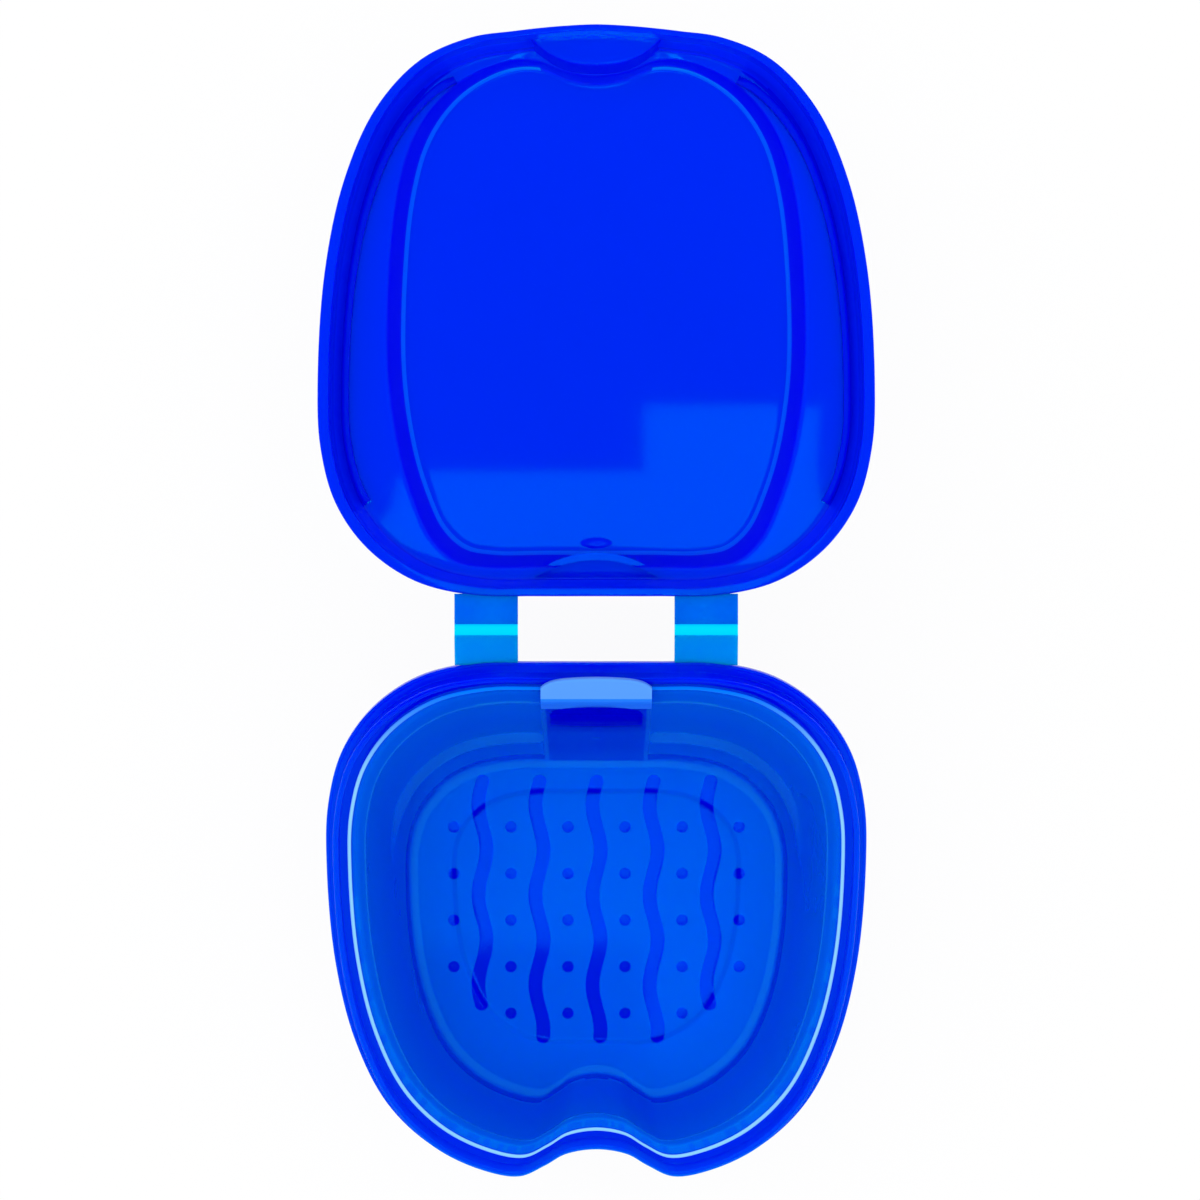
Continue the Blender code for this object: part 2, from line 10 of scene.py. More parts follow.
import bmesh
import bpy
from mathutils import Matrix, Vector

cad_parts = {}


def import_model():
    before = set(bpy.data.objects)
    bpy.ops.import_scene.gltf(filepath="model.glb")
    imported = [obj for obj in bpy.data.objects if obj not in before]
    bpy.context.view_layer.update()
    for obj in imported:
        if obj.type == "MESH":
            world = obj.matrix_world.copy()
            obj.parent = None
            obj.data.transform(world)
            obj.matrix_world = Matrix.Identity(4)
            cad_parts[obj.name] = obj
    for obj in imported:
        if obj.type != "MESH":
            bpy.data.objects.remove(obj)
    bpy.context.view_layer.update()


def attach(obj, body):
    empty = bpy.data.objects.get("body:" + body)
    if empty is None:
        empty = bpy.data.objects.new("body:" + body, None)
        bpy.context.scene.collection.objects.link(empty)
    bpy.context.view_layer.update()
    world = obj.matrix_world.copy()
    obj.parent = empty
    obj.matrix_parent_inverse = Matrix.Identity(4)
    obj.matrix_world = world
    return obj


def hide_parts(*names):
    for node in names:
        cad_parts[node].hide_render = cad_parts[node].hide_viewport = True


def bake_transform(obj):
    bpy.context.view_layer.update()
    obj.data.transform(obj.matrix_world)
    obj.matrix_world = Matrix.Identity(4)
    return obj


MM = 0.001
FINE = 0.12 * MM
SHARP_ANGLE = math.radians(40)

# Hinge and slanted rim
HINGE_HEIGHT = 52.0 * MM
HINGE_BACK = 50.2 * MM
RIM_TILT = math.radians(14.5)

# Rim of the tub: half width, then distances from the hinge axis
RIM_HALF_WIDTH = 43.2 * MM
RIM_REAR = 5.4 * MM
RIM_WIDEST = 37.4 * MM
RIM_FRONT = 93.2 * MM
RIM_NOTCH = 4.8 * MM
FLANGE_THICKNESS = 1.3 * MM
FLANGE_OVERHANG = 2.1 * MM
FLANGE_SPREAD = 0.4 * MM
FLANGE_BAND = 0.5 * MM
FLANGE_GROOVE = 0.15 * MM
LIP_LINE = 0.22 * MM
LIP_LINE_DEPTH = 0.12 * MM
LIP_INSET = 0.9 * MM
LIP_REAR_INSET = 1.6 * MM
LIP_THICKNESS = 0.9 * MM
LIP_HEIGHT = 3.0 * MM

# Body of the tub, down to its floor
SIDE_TAPER = 6.2 * MM
REAR_TAPER = 7.8 * MM
FRONT_TAPER = 7.7 * MM
TUB_WIDEST = 41.6 * MM
TUB_NOTCH = 4.1 * MM
TUB_WALL = 2.0 * MM
TUB_FLOOR = 3.0 * MM
TUB_FILLET = 5.0 * MM
PANEL_SIDE_MARGIN = 7.1 * MM
PANEL_REAR_MARGIN = 9.7 * MM
PANEL_FRONT_MARGIN = 8.5 * MM
PANEL_DEPTH = 0.6 * MM

# Strainer basket
GROOVE_WIDTH = 1.4 * MM
GROOVE_REAR_WIDTH = 0.85 * MM
GROOVE_FRONT_WIDTH = 2.0 * MM
SEAT_GAP = 0.3 * MM
SEAT_WIDTH = 1.2 * MM
EDGE_THICKNESS = 1.2 * MM
EDGE_WIDTH = 2.9 * MM
BEAD_WIDTH = 0.6 * MM
BEAD_HEIGHT = 0.6 * MM
BASKET_WALL = 1.2 * MM
BASKET_GAP = 1.4 * MM
BASKET_REAR_GAP = 5.8 * MM
BASKET_UNDER_GAP = 2.8 * MM
BASKET_FILLET = 3.2 * MM
STEP_WIDTH = 1.4 * MM
STEP_CLEAR_SHARE = 0.95
STEP_LOW_SHARE = 0.35
STEP_HIGH_SHARE = 0.40
STEP_SOFTNESS = 0.4 * MM

# Slots and drain holes of the basket floor
SLOT_COUNT = 5
SLOT_SPACING = 9.8 * MM
SLOT_WIDTH = 2.4 * MM
SLOT_REAR_MARGIN = 3.0 * MM
SLOT_FRONT_MARGIN = 9.5 * MM
OUTER_SLOT_SHORTER = 5.6 * MM
WAVE_LENGTH = 15.5 * MM
WAVE_SWING = 0.7 * MM
WAVE_START = 12.9 * MM
HOLE_COLUMNS = 6
HOLE_ROWS = 5
HOLE_RADIUS = 1.0 * MM
HOLE_ROW_SPACING = 8.0 * MM
HOLE_REAR_MARGIN = 12.0 * MM

# Handle of the basket
HANDLE_HALF_WIDTH = 8.8 * MM
HANDLE_THICKNESS = 1.6 * MM
HANDLE_PROUD = 0.8 * MM
HANDLE_LIP = 1.5 * MM
HANDLE_LIP_GAP = 0.4 * MM
HANDLE_REAR_GAP = 0.3 * MM
HANDLE_BOW = 0.7 * MM
HANDLE_END_BOW = 0.9 * MM
HANDLE_SOFTNESS = 0.45 * MM
GRIP_SIDE = 1.2 * MM
GRIP_REAR = 12.2 * MM
GRIP_FRONT = 16.2 * MM
GRIP_BOW = 0.6 * MM
GRIP_END_BOW = 1.0 * MM
GRIP_SAG = 0.3 * MM
GATE_RADIUS = 0.7 * MM
GATE_DEPTH = 0.25 * MM
GATE_HEIGHT = 26.0 * MM

# Lid, laid out from the hinge axis, with heights above the rim plane as if closed
LID_OVERHANG = 1.1 * MM
LID_FRONT_OVERHANG = 3.1 * MM
LIP_CLEARANCE = 0.25 * MM
LID_GAP = 0.3 * MM
LID_WALL = 1.2 * MM
LID_FRONT_SKIRT = 1.0 * MM
LID_FRONT_WALL = 0.9 * MM
SKIRT_BAND = 2.6 * MM
SKIRT_DRAFT = 0.9 * MM
LID_REAR_WALL = 0.9 * MM
REAR_DRAFT = 0.4 * MM
LID_SHOULDER = 9.8 * MM
SHOULDER_ROUND = 1.2 * MM
LID_DEPTH = 14.4 * MM
TOP_SIDE_INSET = 13.0 * MM
TOP_REAR_INSET = 7.1 * MM
TOP_FRONT_INSET = 3.1 * MM
TOP_WIDEST = 43.8 * MM
TOP_STEP = 2.4 * MM
TOP_FRONT_STEP = 0.6 * MM
SCOOP_DEPTH = 3.4 * MM
TOP_ROUND = 0.6 * MM
RIB_INSET = 3.35 * MM
RIB_THICKNESS = 1.1 * MM
RIB_HEIGHT = 2.6 * MM
RIB_REAR_MARGIN = 14.2 * MM
RIB_FRONT_MARGIN = 6.8 * MM
RIB_END = 1.6 * MM
RIB_SOFTNESS = 0.45 * MM
POCKET_MARGIN = 1.2 * MM
POCKET_REAR_INSET = 3.0 * MM
POCKET_REACH = 2.9 * MM
POCKET_DEPTH = 2.2 * MM
POCKET_SLOPE = 0.12
THUMB_HALF_WIDTH = 12.0 * MM
THUMB_FRONT = 95.6 * MM
THUMB_REACH = 5.9 * MM
THUMB_TOP = 4.4 * MM
THUMB_FLANK = 0.7 * MM
THUMB_POWER = 2.5
LID_CROWN = 0.035
LID_CROWN_END = 0.45
LID_CROWN_POWER = 1.6
# Half width of the gap at the front in the painted highlight along the top's edge
LID_HIGHLIGHT_BREAK = 9.0 * MM
MARK_AWAY = 14.1 * MM
MARK_HALF_WIDTH = 2.6 * MM
MARK_HALF_LENGTH = 0.9 * MM
MARK_RISE = 0.12 * MM

# Hinge straps; the share of the rim's half width gives each one's middle
STRAP_MIDDLE_SHARE = 0.405
STRAP_WIDTH = 10.1 * MM
STRAP_THICKNESS = 1.0 * MM
STRAP_DROP = 0.15 * MM
STRAP_ROOT = 0.4 * MM
FILM_LENGTH = 1.9 * MM
FILM_THICKNESS = 0.4 * MM
FILM_LAP = 0.25 * MM
FILM_WAIST = 0.7

# Share of the half width, share of the length behind (+) or before (-) the widest line, share of the notch
APPLE_SHARES = (
    (0.000, 1.000, 0.00),
    (0.220, 1.000, 0.00),
    (0.440, 0.995, 0.00),
    (0.650, 0.925, 0.00),
    (0.820, 0.765, 0.00),
    (0.935, 0.540, 0.00),
    (0.990, 0.260, 0.00),
    (1.000, -0.030, 0.00),
    (0.975, -0.330, 0.00),
    (0.905, -0.580, 0.00),
    (0.790, -0.775, 0.00),
    (0.630, -0.905, 0.00),
    (0.450, -0.978, 0.00),
    (0.300, -1.000, 0.00),
    (0.200, -1.000, 0.40),
    (0.120, -1.000, 0.82),
    (0.000, -1.000, 1.00),
)

# The same for the flat top of the lid, which is straighter at the sides
TOP_SHARES = (
    (0.000, 1.000, 0.00),
    (0.270, 1.000, 0.00),
    (0.540, 1.000, 0.00),
    (0.680, 0.970, 0.00),
    (0.790, 0.870, 0.00),
    (0.870, 0.700, 0.00),
    (0.945, 0.450, 0.00),
    (1.000, 0.050, 0.00),
    (0.990, -0.330, 0.00),
    (0.950, -0.550, 0.00),
    (0.880, -0.710, 0.00),
    (0.770, -0.825, 0.00),
    (0.630, -0.905, 0.00),
    (0.450, -0.957, 0.00),
    (0.290, -0.975, 0.20),
    (0.140, -0.980, 0.80),
    (0.000, -0.980, 1.00),
)

# Counts that set how fine the surfaces are
SPAN_STEPS = 8
ROUND_STEPS = 4
FILLET_STEPS = 8
HOLE_SIDES = 28
WAVE_STEPS = 16
END_STEPS = 10
ARC_STEPS = 24
HANDLE_STEPS = 24
FILM_STEPS = 16

# The most of an edge that the rounding of a corner takes up, so that two roundings never meet
CORNER_SHARE = 0.49

# Camera: straight down over the middle of the opened case
PHOTO_PIXELS = 1200
PIXELS_PER_MM = 6.3
CAMERA_RISE = 550.0 * MM
CAMERA_ACROSS = 0.6 * MM
CAMERA_BACK = 55.0 * MM
SENSOR_WIDTH = 36.0

# Lamps and surroundings; the cards' sides are distances from the camera's axis
CARD_HEIGHT = 1.5
CARD_RADIANCE = 1.5
TUB_CARD_RADIANCE = 3.6
CARD_LEFT = -0.102
CARD_SPLIT = 0.026
CARD_RIGHT = 0.108
CARD_FOLD = -0.060
CARD_LEFT_BACK = 0.075
CARD_RIGHT_BACK = 0.114
TUB_CARD_LEFT = -0.110
TUB_CARD_RIGHT = 0.130
TUB_CARD_LEFT_FRONT = -0.209
TUB_CARD_RIGHT_FRONT = -0.290
TOP_LAMP_HEIGHT = 1.6
TOP_LAMP_SIZE = 1.3
TOP_LAMP_RADIANCE = 1.3
SIDE_LAMP_PLACE = (-0.7, 0.5, 1.1)
SIDE_LAMP_SIZE = 0.7
SIDE_LAMP_RADIANCE = 0.8
SKY_STRENGTH = 0.85
FLOOR_GREY = 0.85
FLOOR_GLOW = 0.94
FLOOR_REACH = 4.0
FLOOR_DROP = 0.05 * MM

# Colours, linear: each plastic where it lies flat, and its darker tone on steep walls, which is painted shade.
# The lighter tones on rims, walls, edges, the tub's inside and the thin hinge straps are painted light and
# painted highlights. The darker tones on steps, ribs, flanks and creases are painted shade
LID_BLUE = (0.0, 0.002, 0.73)
LID_WALL_LIT_BLUE = (0.0, 0.014, 0.90)
LID_HIGHLIGHT_BLUE = (0.0, 0.045, 0.92)
LID_SHADE_BLUE = (0.0, 0.001, 0.70)
TUB_BLUE = (0.0, 0.001, 0.84)
TUB_RIM_LIT_BLUE = (0.0, 0.025, 0.80)
TUB_INSIDE_LIT_BLUE = (0.0, 0.001, 0.97)
TUB_STEEP_SHADE = (0.0, 0.0, 0.66)
LID_LEAF_LIT_BLUE = (0.0, 0.085, 1.0)
BASE_LEAF_LIT_BLUE = (0.0, 0.20, 1.0)
FILM_LIT_CYAN = (0.0, 0.60, 1.0)
NATURAL = (0.0, 0.21, 1.0)
NATURAL_LIT = (0.01, 0.36, 1.0)
NATURAL_SHADE = (0.0, 0.03, 0.75)
NATURAL_WALL_LIT = (0.0, 0.26, 1.0)
HANDLE_LIT_PALE = (0.10, 0.33, 0.95)
EDGE_HIGHLIGHT = (0.24, 0.56, 1.0)
EDGE_HIGHLIGHT_REAR = (0.0, 0.16, 0.95)
BLUE_GLOSS = (0.0, 0.6, 1.0)
TUB_GLOSS = (0.0, 0.25, 1.0)
NATURAL_GLOSS = (0.0, 0.8, 1.0)

# How the plastics vary: normals' upward share from steep to flat for the painted shade, the stretch towards
# the hinge where painted light fades into painted shade, noise sizes in features per metre
STEEP_LEVEL = 0.35
REAR_FADE_START = 26.0 * MM
REAR_FADE_END = 9.0 * MM
FLAT_LEVEL = 0.95
FLOW_SCALE = 35.0
FLOW_SWING = 0.05
GLOSS_SWING = 0.3
GRAIN_SCALE = 1500.0
GRAIN_DEPTH = 0.05 * MM
PLASTIC_IOR = 1.49
SCATTER_REACH = 8.0 * MM
SCATTER_SHARES = (0.2, 0.5, 1.0)


class Plan:
    """A closed outline, mirrored in X: half width, and distances from the hinge axis to its main lines."""

    def __init__(self, half_width, rear, widest, front, notch, shares=APPLE_SHARES):
        self.half_width = half_width
        self.rear = rear
        self.widest = widest
        self.front = front
        self.notch = notch
        self.shares = shares

    def inset(self, by, rear_by=None, front_by=None):
        rear_by = by if rear_by is None else rear_by
        front_by = by if front_by is None else front_by
        return Plan(self.half_width - by, self.rear + rear_by, self.widest, self.front - front_by,
                    self.notch, self.shares)

    def without_notch(self):
        return Plan(self.half_width, self.rear, self.widest, self.front, 0, self.shares)

    def points(self):
        """Points (across, away from the hinge), from the middle of the rear round by +X."""
        half = []
        for across, along, notch in self.shares:
            length = self.widest - self.rear if along > 0 else self.front - self.widest
            away = self.widest - along * length - notch * self.notch
            half.append(Vector((across * self.half_width, away)))
        mirrored = [Vector((-point.x, point.y)) for point in reversed(half[1:-1])]
        return smooth_loop(half + mirrored, SPAN_STEPS)


def smooth_loop(keys, steps):
    """A centripetal Catmull-Rom curve through the keys of a closed loop."""
    loop = []
    count = len(keys)
    for index in range(count):
        p0, p1, p2, p3 = (keys[(index + offset) % count] for offset in (-1, 0, 1, 2))
        t1 = math.sqrt((p1 - p0).length)
        t2 = t1 + math.sqrt((p2 - p1).length)
        t3 = t2 + math.sqrt((p3 - p2).length)
        for step in range(steps):
            t = t1 + (t2 - t1) * step / steps
            a1 = p0.lerp(p1, t / t1)
            a2 = p1.lerp(p2, (t - t1) / (t2 - t1))
            a3 = p2.lerp(p3, (t - t2) / (t3 - t2))
            b1 = a1.lerp(a2, t / t2)
            b2 = a2.lerp(a3, (t - t1) / (t3 - t1))
            loop.append(b1.lerp(b2, (t - t1) / (t2 - t1)))
    return loop


def on_table(across, away, height):
    """A place level with the table, the given distance from the hinge axis."""
    return Vector((across, HINGE_BACK - away, height))


def on_rim(across, away, height):
    """A place in the slanted rim plane, or above it by the height."""
    back = HINGE_BACK - away * math.cos(RIM_TILT) - height * math.sin(RIM_TILT)
    up = HINGE_HEIGHT - away * math.sin(RIM_TILT) + height * math.cos(RIM_TILT)
    return Vector((across, back, up))


def on_lid(across, away, height):
    """A place in the opened lid, whose top faces down."""
    return Vector((across, HINGE_BACK + away, HINGE_HEIGHT - height))


def ring(place, plan, height):
    return [place(point.x, point.y, height) for point in plan.points()]


def towards(corner, neighbour, reach):
    """The place where the rounding of a corner starts on the edge to its neighbour."""
    edge = neighbour - corner
    return corner + edge.normalized() * min(reach, edge.length * CORNER_SHARE)


def rounded(rings):
    """Turns pairs (ring, reach) into rings, with an arc of rings in place of each one that has a reach."""
    result = []
    for index, (middle, reach) in enumerate(rings):
        if not reach or index in (0, len(rings) - 1):
            result.append(middle)
            continue
        before = rings[index - 1][0]
        after = rings[index + 1][0]
        steps = FILLET_STEPS if reach > MM else ROUND_STEPS
        for step in range(steps + 1):
            share = step / steps
            turned = []
            for low, corner, high in zip(before, middle, after):
                start = towards(corner, low, reach)
                end = towards(corner, high, reach)
                turned.append(start.lerp(corner, share).lerp(corner.lerp(end, share), share))
            result.append(turned)
    return result


def outward(points, index):
    """The level direction that points out of a ring at one of its points."""
    along = points[(index + 1) % len(points)] - points[index - 1]
    direction = Vector((along.y, -along.x, 0)).normalized()
    from_middle = points[index] - sum(points, Vector()) / len(points)
    return direction if direction.dot(from_middle) > 0 else -direction


def add_loft(bm, rings, slot=0):
    """Skins the rings with quads and closes both ends."""
    layers = [[bm.verts.new(point) for point in points] for points in rings]
    for lower, upper in zip(layers, layers[1:]):
        for index in range(len(lower)):
            after = (index + 1) % len(lower)
            face = bm.faces.new((lower[index], lower[after], upper[after], upper[index]))
            face.material_index = slot
    for end in (list(reversed(layers[0])), layers[-1]):
        bm.faces.new(end).material_index = slot


def new_piece(name, lofts, materials, slot=0):
    """A smooth mesh object made of closed lofts."""
    bm = bmesh.new()
    for rings in lofts:
        add_loft(bm, rings, slot)
    bmesh.ops.recalc_face_normals(bm, faces=bm.faces)
    mesh = bpy.data.meshes.new(name)
    bm.to_mesh(mesh)
    bm.free()
    for material in materials:
        mesh.materials.append(material)
    mesh.shade_smooth()
    mesh.set_sharp_from_angle(angle=SHARP_ANGLE)
    piece = bpy.data.objects.new(name, mesh)
    bpy.context.scene.collection.objects.link(piece)
    return piece


def shape_with(piece, tool, operation):
    """Applies one exact boolean and removes the tool."""
    modifier = piece.modifiers.new(tool.name, "BOOLEAN")
    modifier.object = tool
    modifier.operation = operation
    modifier.solver = "EXACT"
    bpy.context.view_layer.update()
    evaluated = piece.evaluated_get(bpy.context.evaluated_depsgraph_get())
    mesh = bpy.data.meshes.new_from_object(evaluated)
    old = piece.data
    piece.modifiers.clear()
    piece.data = mesh
    bpy.data.meshes.remove(old)
    bpy.data.objects.remove(tool, do_unlink=True)
    mesh.set_sharp_from_angle(angle=SHARP_ANGLE)


def even_normals(piece):
    """Weighs the shading by face area, so that large flat faces mirror as flat."""
    modifier = piece.modifiers.new("even_normals", "WEIGHTED_NORMAL")
    modifier.keep_sharp = True
    bpy.context.view_layer.update()
    evaluated = piece.evaluated_get(bpy.context.evaluated_depsgraph_get())
    mesh = bpy.data.meshes.new_from_object(evaluated)
    old = piece.data
    piece.modifiers.clear()
    piece.data = mesh
    bpy.data.meshes.remove(old)


def rim_plan():
    return Plan(RIM_HALF_WIDTH, RIM_REAR, RIM_WIDEST, RIM_FRONT, RIM_NOTCH)


def body_plan():
    """The tub's outline where its wall would meet the table without the fillet."""
    return Plan(RIM_HALF_WIDTH - SIDE_TAPER, RIM_REAR + REAR_TAPER, TUB_WIDEST,
                RIM_FRONT - FRONT_TAPER, TUB_NOTCH)


def lip_plan():
    return rim_plan().inset(LIP_INSET, rear_by=LIP_REAR_INSET)


def edge_plan():
    """The basket's edge, which lies inside the lip across the groove."""
    return lip_plan().inset(LIP_THICKNESS).inset(GROOVE_WIDTH, GROOVE_REAR_WIDTH, GROOVE_FRONT_WIDTH)


def floor_plan():
    """The basket's floor, inside the tub by the gaps and both walls."""
    wall = TUB_WALL + BASKET_WALL
    return body_plan().inset(wall + BASKET_GAP, rear_by=wall + BASKET_REAR_GAP)


def basket_height():
    """Height of the top of the basket's floor."""
    return TUB_FLOOR + BASKET_UNDER_GAP + BASKET_WALL


def handle_height():
    """Height of the top of the handle's lip, which passes over the tub's lip, above the rim plane."""
    return LIP_HEIGHT + HANDLE_LIP_GAP + HANDLE_LIP


def lid_plan():
    plan = rim_plan().inset(-LID_OVERHANG, rear_by=0, front_by=-LID_FRONT_OVERHANG).without_notch()
    plan.shares = tuple((across, -1 + LID_CROWN * (across / LID_CROWN_END) ** LID_CROWN_POWER, 0)
                        if across <= LID_CROWN_END and along < 0 else (across, along, 0)
                        for across, along, notch in APPLE_SHARES)
    return plan


def tub_rings():
    """The tub as one skin: under the foot, up the outside, over flange, lip and seat, down the inside."""
    rim = rim_plan()
    body = body_plan()
    lip = lip_plan()
    lip_inside = lip.inset(LIP_THICKNESS)
    inside = body.inset(TUB_WALL)
    reach = TUB_FILLET - TUB_WALL
    floor = inside.inset(reach)
    panel = floor.inset(PANEL_SIDE_MARGIN, PANEL_REAR_MARGIN, PANEL_FRONT_MARGIN).without_notch()
    flange = rim.inset(-FLANGE_SPREAD, rear_by=0, front_by=0)
    band = flange.inset(FLANGE_BAND)
    return rounded([
        (ring(on_table, body.inset(TUB_FILLET + FINE), 0), 0),
        (ring(on_table, body, 0), TUB_FILLET),
        (ring(on_rim, rim.inset(FLANGE_OVERHANG), -FLANGE_THICKNESS), 3 * FINE),
        (ring(on_rim, flange, -FLANGE_THICKNESS), 2 * FINE),
        (ring(on_rim, flange, 0), 2 * FINE),
        (ring(on_rim, band, 0), FINE),
        (ring(on_rim, band, -FLANGE_GROOVE), FINE),
        (ring(on_rim, lip, -FLANGE_GROOVE), FINE),
        (ring(on_rim, lip, LIP_HEIGHT), 2 * FINE),
        (ring(on_rim, lip.inset(LIP_LINE), LIP_HEIGHT), 0),
        (ring(on_rim, lip.inset(LIP_LINE * 3 / 2), LIP_HEIGHT - LIP_LINE_DEPTH), 0),
        (ring(on_rim, lip.inset(LIP_LINE * 2), LIP_HEIGHT), 0),
        (ring(on_rim, lip_inside, LIP_HEIGHT), 2 * FINE),
        (ring(on_rim, lip_inside, 0), FINE),
        (ring(on_rim, edge_plan().inset(SEAT_WIDTH), 0), 2 * FINE),
        (ring(on_table, inside, TUB_FLOOR), reach),
        (ring(on_table, panel, TUB_FLOOR), 2 * FINE),
        (ring(on_table, panel.inset(PANEL_DEPTH), TUB_FLOOR - PANEL_DEPTH), 2 * FINE),
        (ring(on_table, panel.inset(2 * PANEL_DEPTH), TUB_FLOOR - PANEL_DEPTH), 0),
    ])


def stepped_ring(corner, top, share, shift):
    """A ring a share of the way up the wall, pushed out or in round the rear, but not behind the handle."""
    moved = []
    for index, (low, high) in enumerate(zip(corner, top)):
        point = low.lerp(high, share)
        rearness = (low.y - (HINGE_BACK - TUB_WIDEST)) / (TUB_WIDEST - floor_plan().rear)
        weight = min(max(2 * rearness, 0), 1)
        if abs(low.x) < HANDLE_HALF_WIDTH * STEP_CLEAR_SHARE:
            weight = 0
        moved.append(point + outward(corner, index) * shift * weight)
    return moved


def wall_rings(plan, height, reach, top, top_reach):
    """Rings of one side of the basket wall, from its floor to the given top ring, with their rounding."""
    corner = ring(on_table, plan, height)
    return [
        (ring(on_table, plan.inset(reach + STEP_SOFTNESS), height), 0),
        (corner, reach),
        (stepped_ring(corner, top, STEP_LOW_SHARE, -STEP_WIDTH / 2), STEP_SOFTNESS),
        (stepped_ring(corner, top, STEP_HIGH_SHARE, STEP_WIDTH / 2), STEP_SOFTNESS),
        (top, top_reach),
    ]


def basket_rings():
    """The basket as one skin: under the floor, up the outside, over the edge and bead, down the inside."""
    edge = edge_plan()
    inner_edge = edge.inset(EDGE_WIDTH)
    top = SEAT_GAP + EDGE_THICKNESS
    floor = floor_plan()
    height = basket_height()
    reach = BASKET_FILLET + BASKET_WALL
    under_edge = ring(on_rim, inner_edge.inset(-BASKET_WALL), SEAT_GAP)
    outside = wall_rings(floor.inset(-BASKET_WALL), height - BASKET_WALL, reach, under_edge, 3 * FINE)
    rim = [
        (ring(on_rim, edge, SEAT_GAP), 2 * FINE),
        (ring(on_rim, edge, top + BEAD_HEIGHT), 2 * FINE),
        (ring(on_rim, edge.inset(BEAD_WIDTH), top + BEAD_HEIGHT), 2 * FINE),
        (ring(on_rim, edge.inset(BEAD_WIDTH), top), FINE),
    ]
    inside = wall_rings(floor, height, BASKET_FILLET, ring(on_rim, inner_edge, top), 3 * FINE)
    return rounded(outside + rim + list(reversed(inside)))


def slot_outline(across, rear, front):
    """A wavy slot with round ends, as points (across, away from the hinge)."""
    def middle(away):
        return across + WAVE_SWING * math.cos(2 * math.pi * (away - rear - WAVE_START) / WAVE_LENGTH)

    radius = SLOT_WIDTH / 2
    start = rear + radius
    end = front - radius
    steps = math.ceil(WAVE_STEPS * (end - start) / WAVE_LENGTH)
    places = [start + (end - start) * step / steps for step in range(steps + 1)]
    outline = [Vector((middle(away) + radius, away)) for away in places]
    for step in range(1, END_STEPS):
        angle = math.pi * step / END_STEPS
        outline.append(Vector((middle(end) + radius * math.cos(angle), end + radius * math.sin(angle))))
    outline += [Vector((middle(away) - radius, away)) for away in reversed(places)]
    for step in range(1, END_STEPS):
        angle = math.pi * step / END_STEPS
        outline.append(Vector((middle(start) - radius * math.cos(angle), start - radius * math.sin(angle))))
    return outline


def circle_outline(across, away, radius):
    angles = [2 * math.pi * side / HOLE_SIDES for side in range(HOLE_SIDES)]
    return [Vector((across + radius * math.cos(angle), away + radius * math.sin(angle))) for angle in angles]


def prism(place, outline, low, high):
    """The two rings of a prism that stands on a place function."""
    return [[place(point.x, point.y, height) for point in outline] for height in (low, high)]


def drain_prisms():
    """Cutters for the wavy slots and the rows of holes; the outer columns lack the last hole."""
    low = basket_height() - 2 * BASKET_WALL
    high = basket_height() + BASKET_WALL
    floor = floor_plan()
    slot_rear = floor.rear + SLOT_REAR_MARGIN
    slot_front = floor.front - SLOT_FRONT_MARGIN
    prisms = []
    for column in range(SLOT_COUNT):
        offset = column - (SLOT_COUNT - 1) / 2
        shorter = OUTER_SLOT_SHORTER if column in (0, SLOT_COUNT - 1) else 0
        outline = slot_outline(offset * SLOT_SPACING, slot_rear, slot_front - shorter)
        prisms.append(prism(on_table, outline, low, high))
    for column in range(HOLE_COLUMNS):
        offset = column - (HOLE_COLUMNS - 1) / 2
        outer = column in (0, HOLE_COLUMNS - 1)
        for row in range(HOLE_ROWS - 1 if outer else HOLE_ROWS):
            away = floor.rear + HOLE_REAR_MARGIN + row * HOLE_ROW_SPACING
            outline = circle_outline(offset * SLOT_SPACING, away, HOLE_RADIUS)
            prisms.append(prism(on_table, outline, low, high))
    return prisms


def soft_corners(profile, reach, steps):
    """Rounds each corner of a closed profile."""
    result = []
    for index, corner in enumerate(profile):
        before = profile[index - 1]
        after = profile[(index + 1) % len(profile)]
        start = towards(corner, before, reach)
        end = towards(corner, after, reach)
        for step in range(steps + 1):
            share = step / steps
            result.append(start.lerp(corner, share).lerp(corner.lerp(end, share), share))
    return result


def handle_rings():
    """The leaning handle plate with its hooked lip, as the same profile at places across the basket."""
    top_back = edge_plan().rear + EDGE_WIDTH
    edge_top = SEAT_GAP + EDGE_THICKNESS
    rise = handle_height()
    foot = on_table(0, floor_plan().rear, basket_height() - BASKET_WALL / 2)
    knee = on_rim(0, top_back, edge_top)
    along = (knee - foot).normalized()
    through = Vector((0, along.z, -along.y))
    rings = []
    for step in range(HANDLE_STEPS + 1):
        share = 2 * step / HANDLE_STEPS - 1
        bow = HANDLE_BOW * share ** 2 + HANDLE_END_BOW * share ** 8
        rear = RIM_REAR + LID_REAR_WALL + HANDLE_REAR_GAP + bow
        bend = top_back + HANDLE_PROUD - HANDLE_LIP
        profile = [
            foot - through * HANDLE_PROUD,
            knee - through * HANDLE_PROUD,
            on_rim(0, bend, rise - HANDLE_LIP / 2),
            on_rim(0, bend - HANDLE_LIP / 2, rise),
            on_rim(0, rear, rise),
            on_rim(0, rear, rise - HANDLE_LIP),
            on_rim(0, bend - HANDLE_THICKNESS, rise - HANDLE_LIP),
            knee + through * (HANDLE_THICKNESS - HANDLE_PROUD),
            foot + through * (HANDLE_THICKNESS - HANDLE_PROUD),
        ]
        across = Vector((share * HANDLE_HALF_WIDTH, 0, 0))
        rings.append([point + across for point in soft_corners(profile, HANDLE_SOFTNESS, ROUND_STEPS)])
    return rings


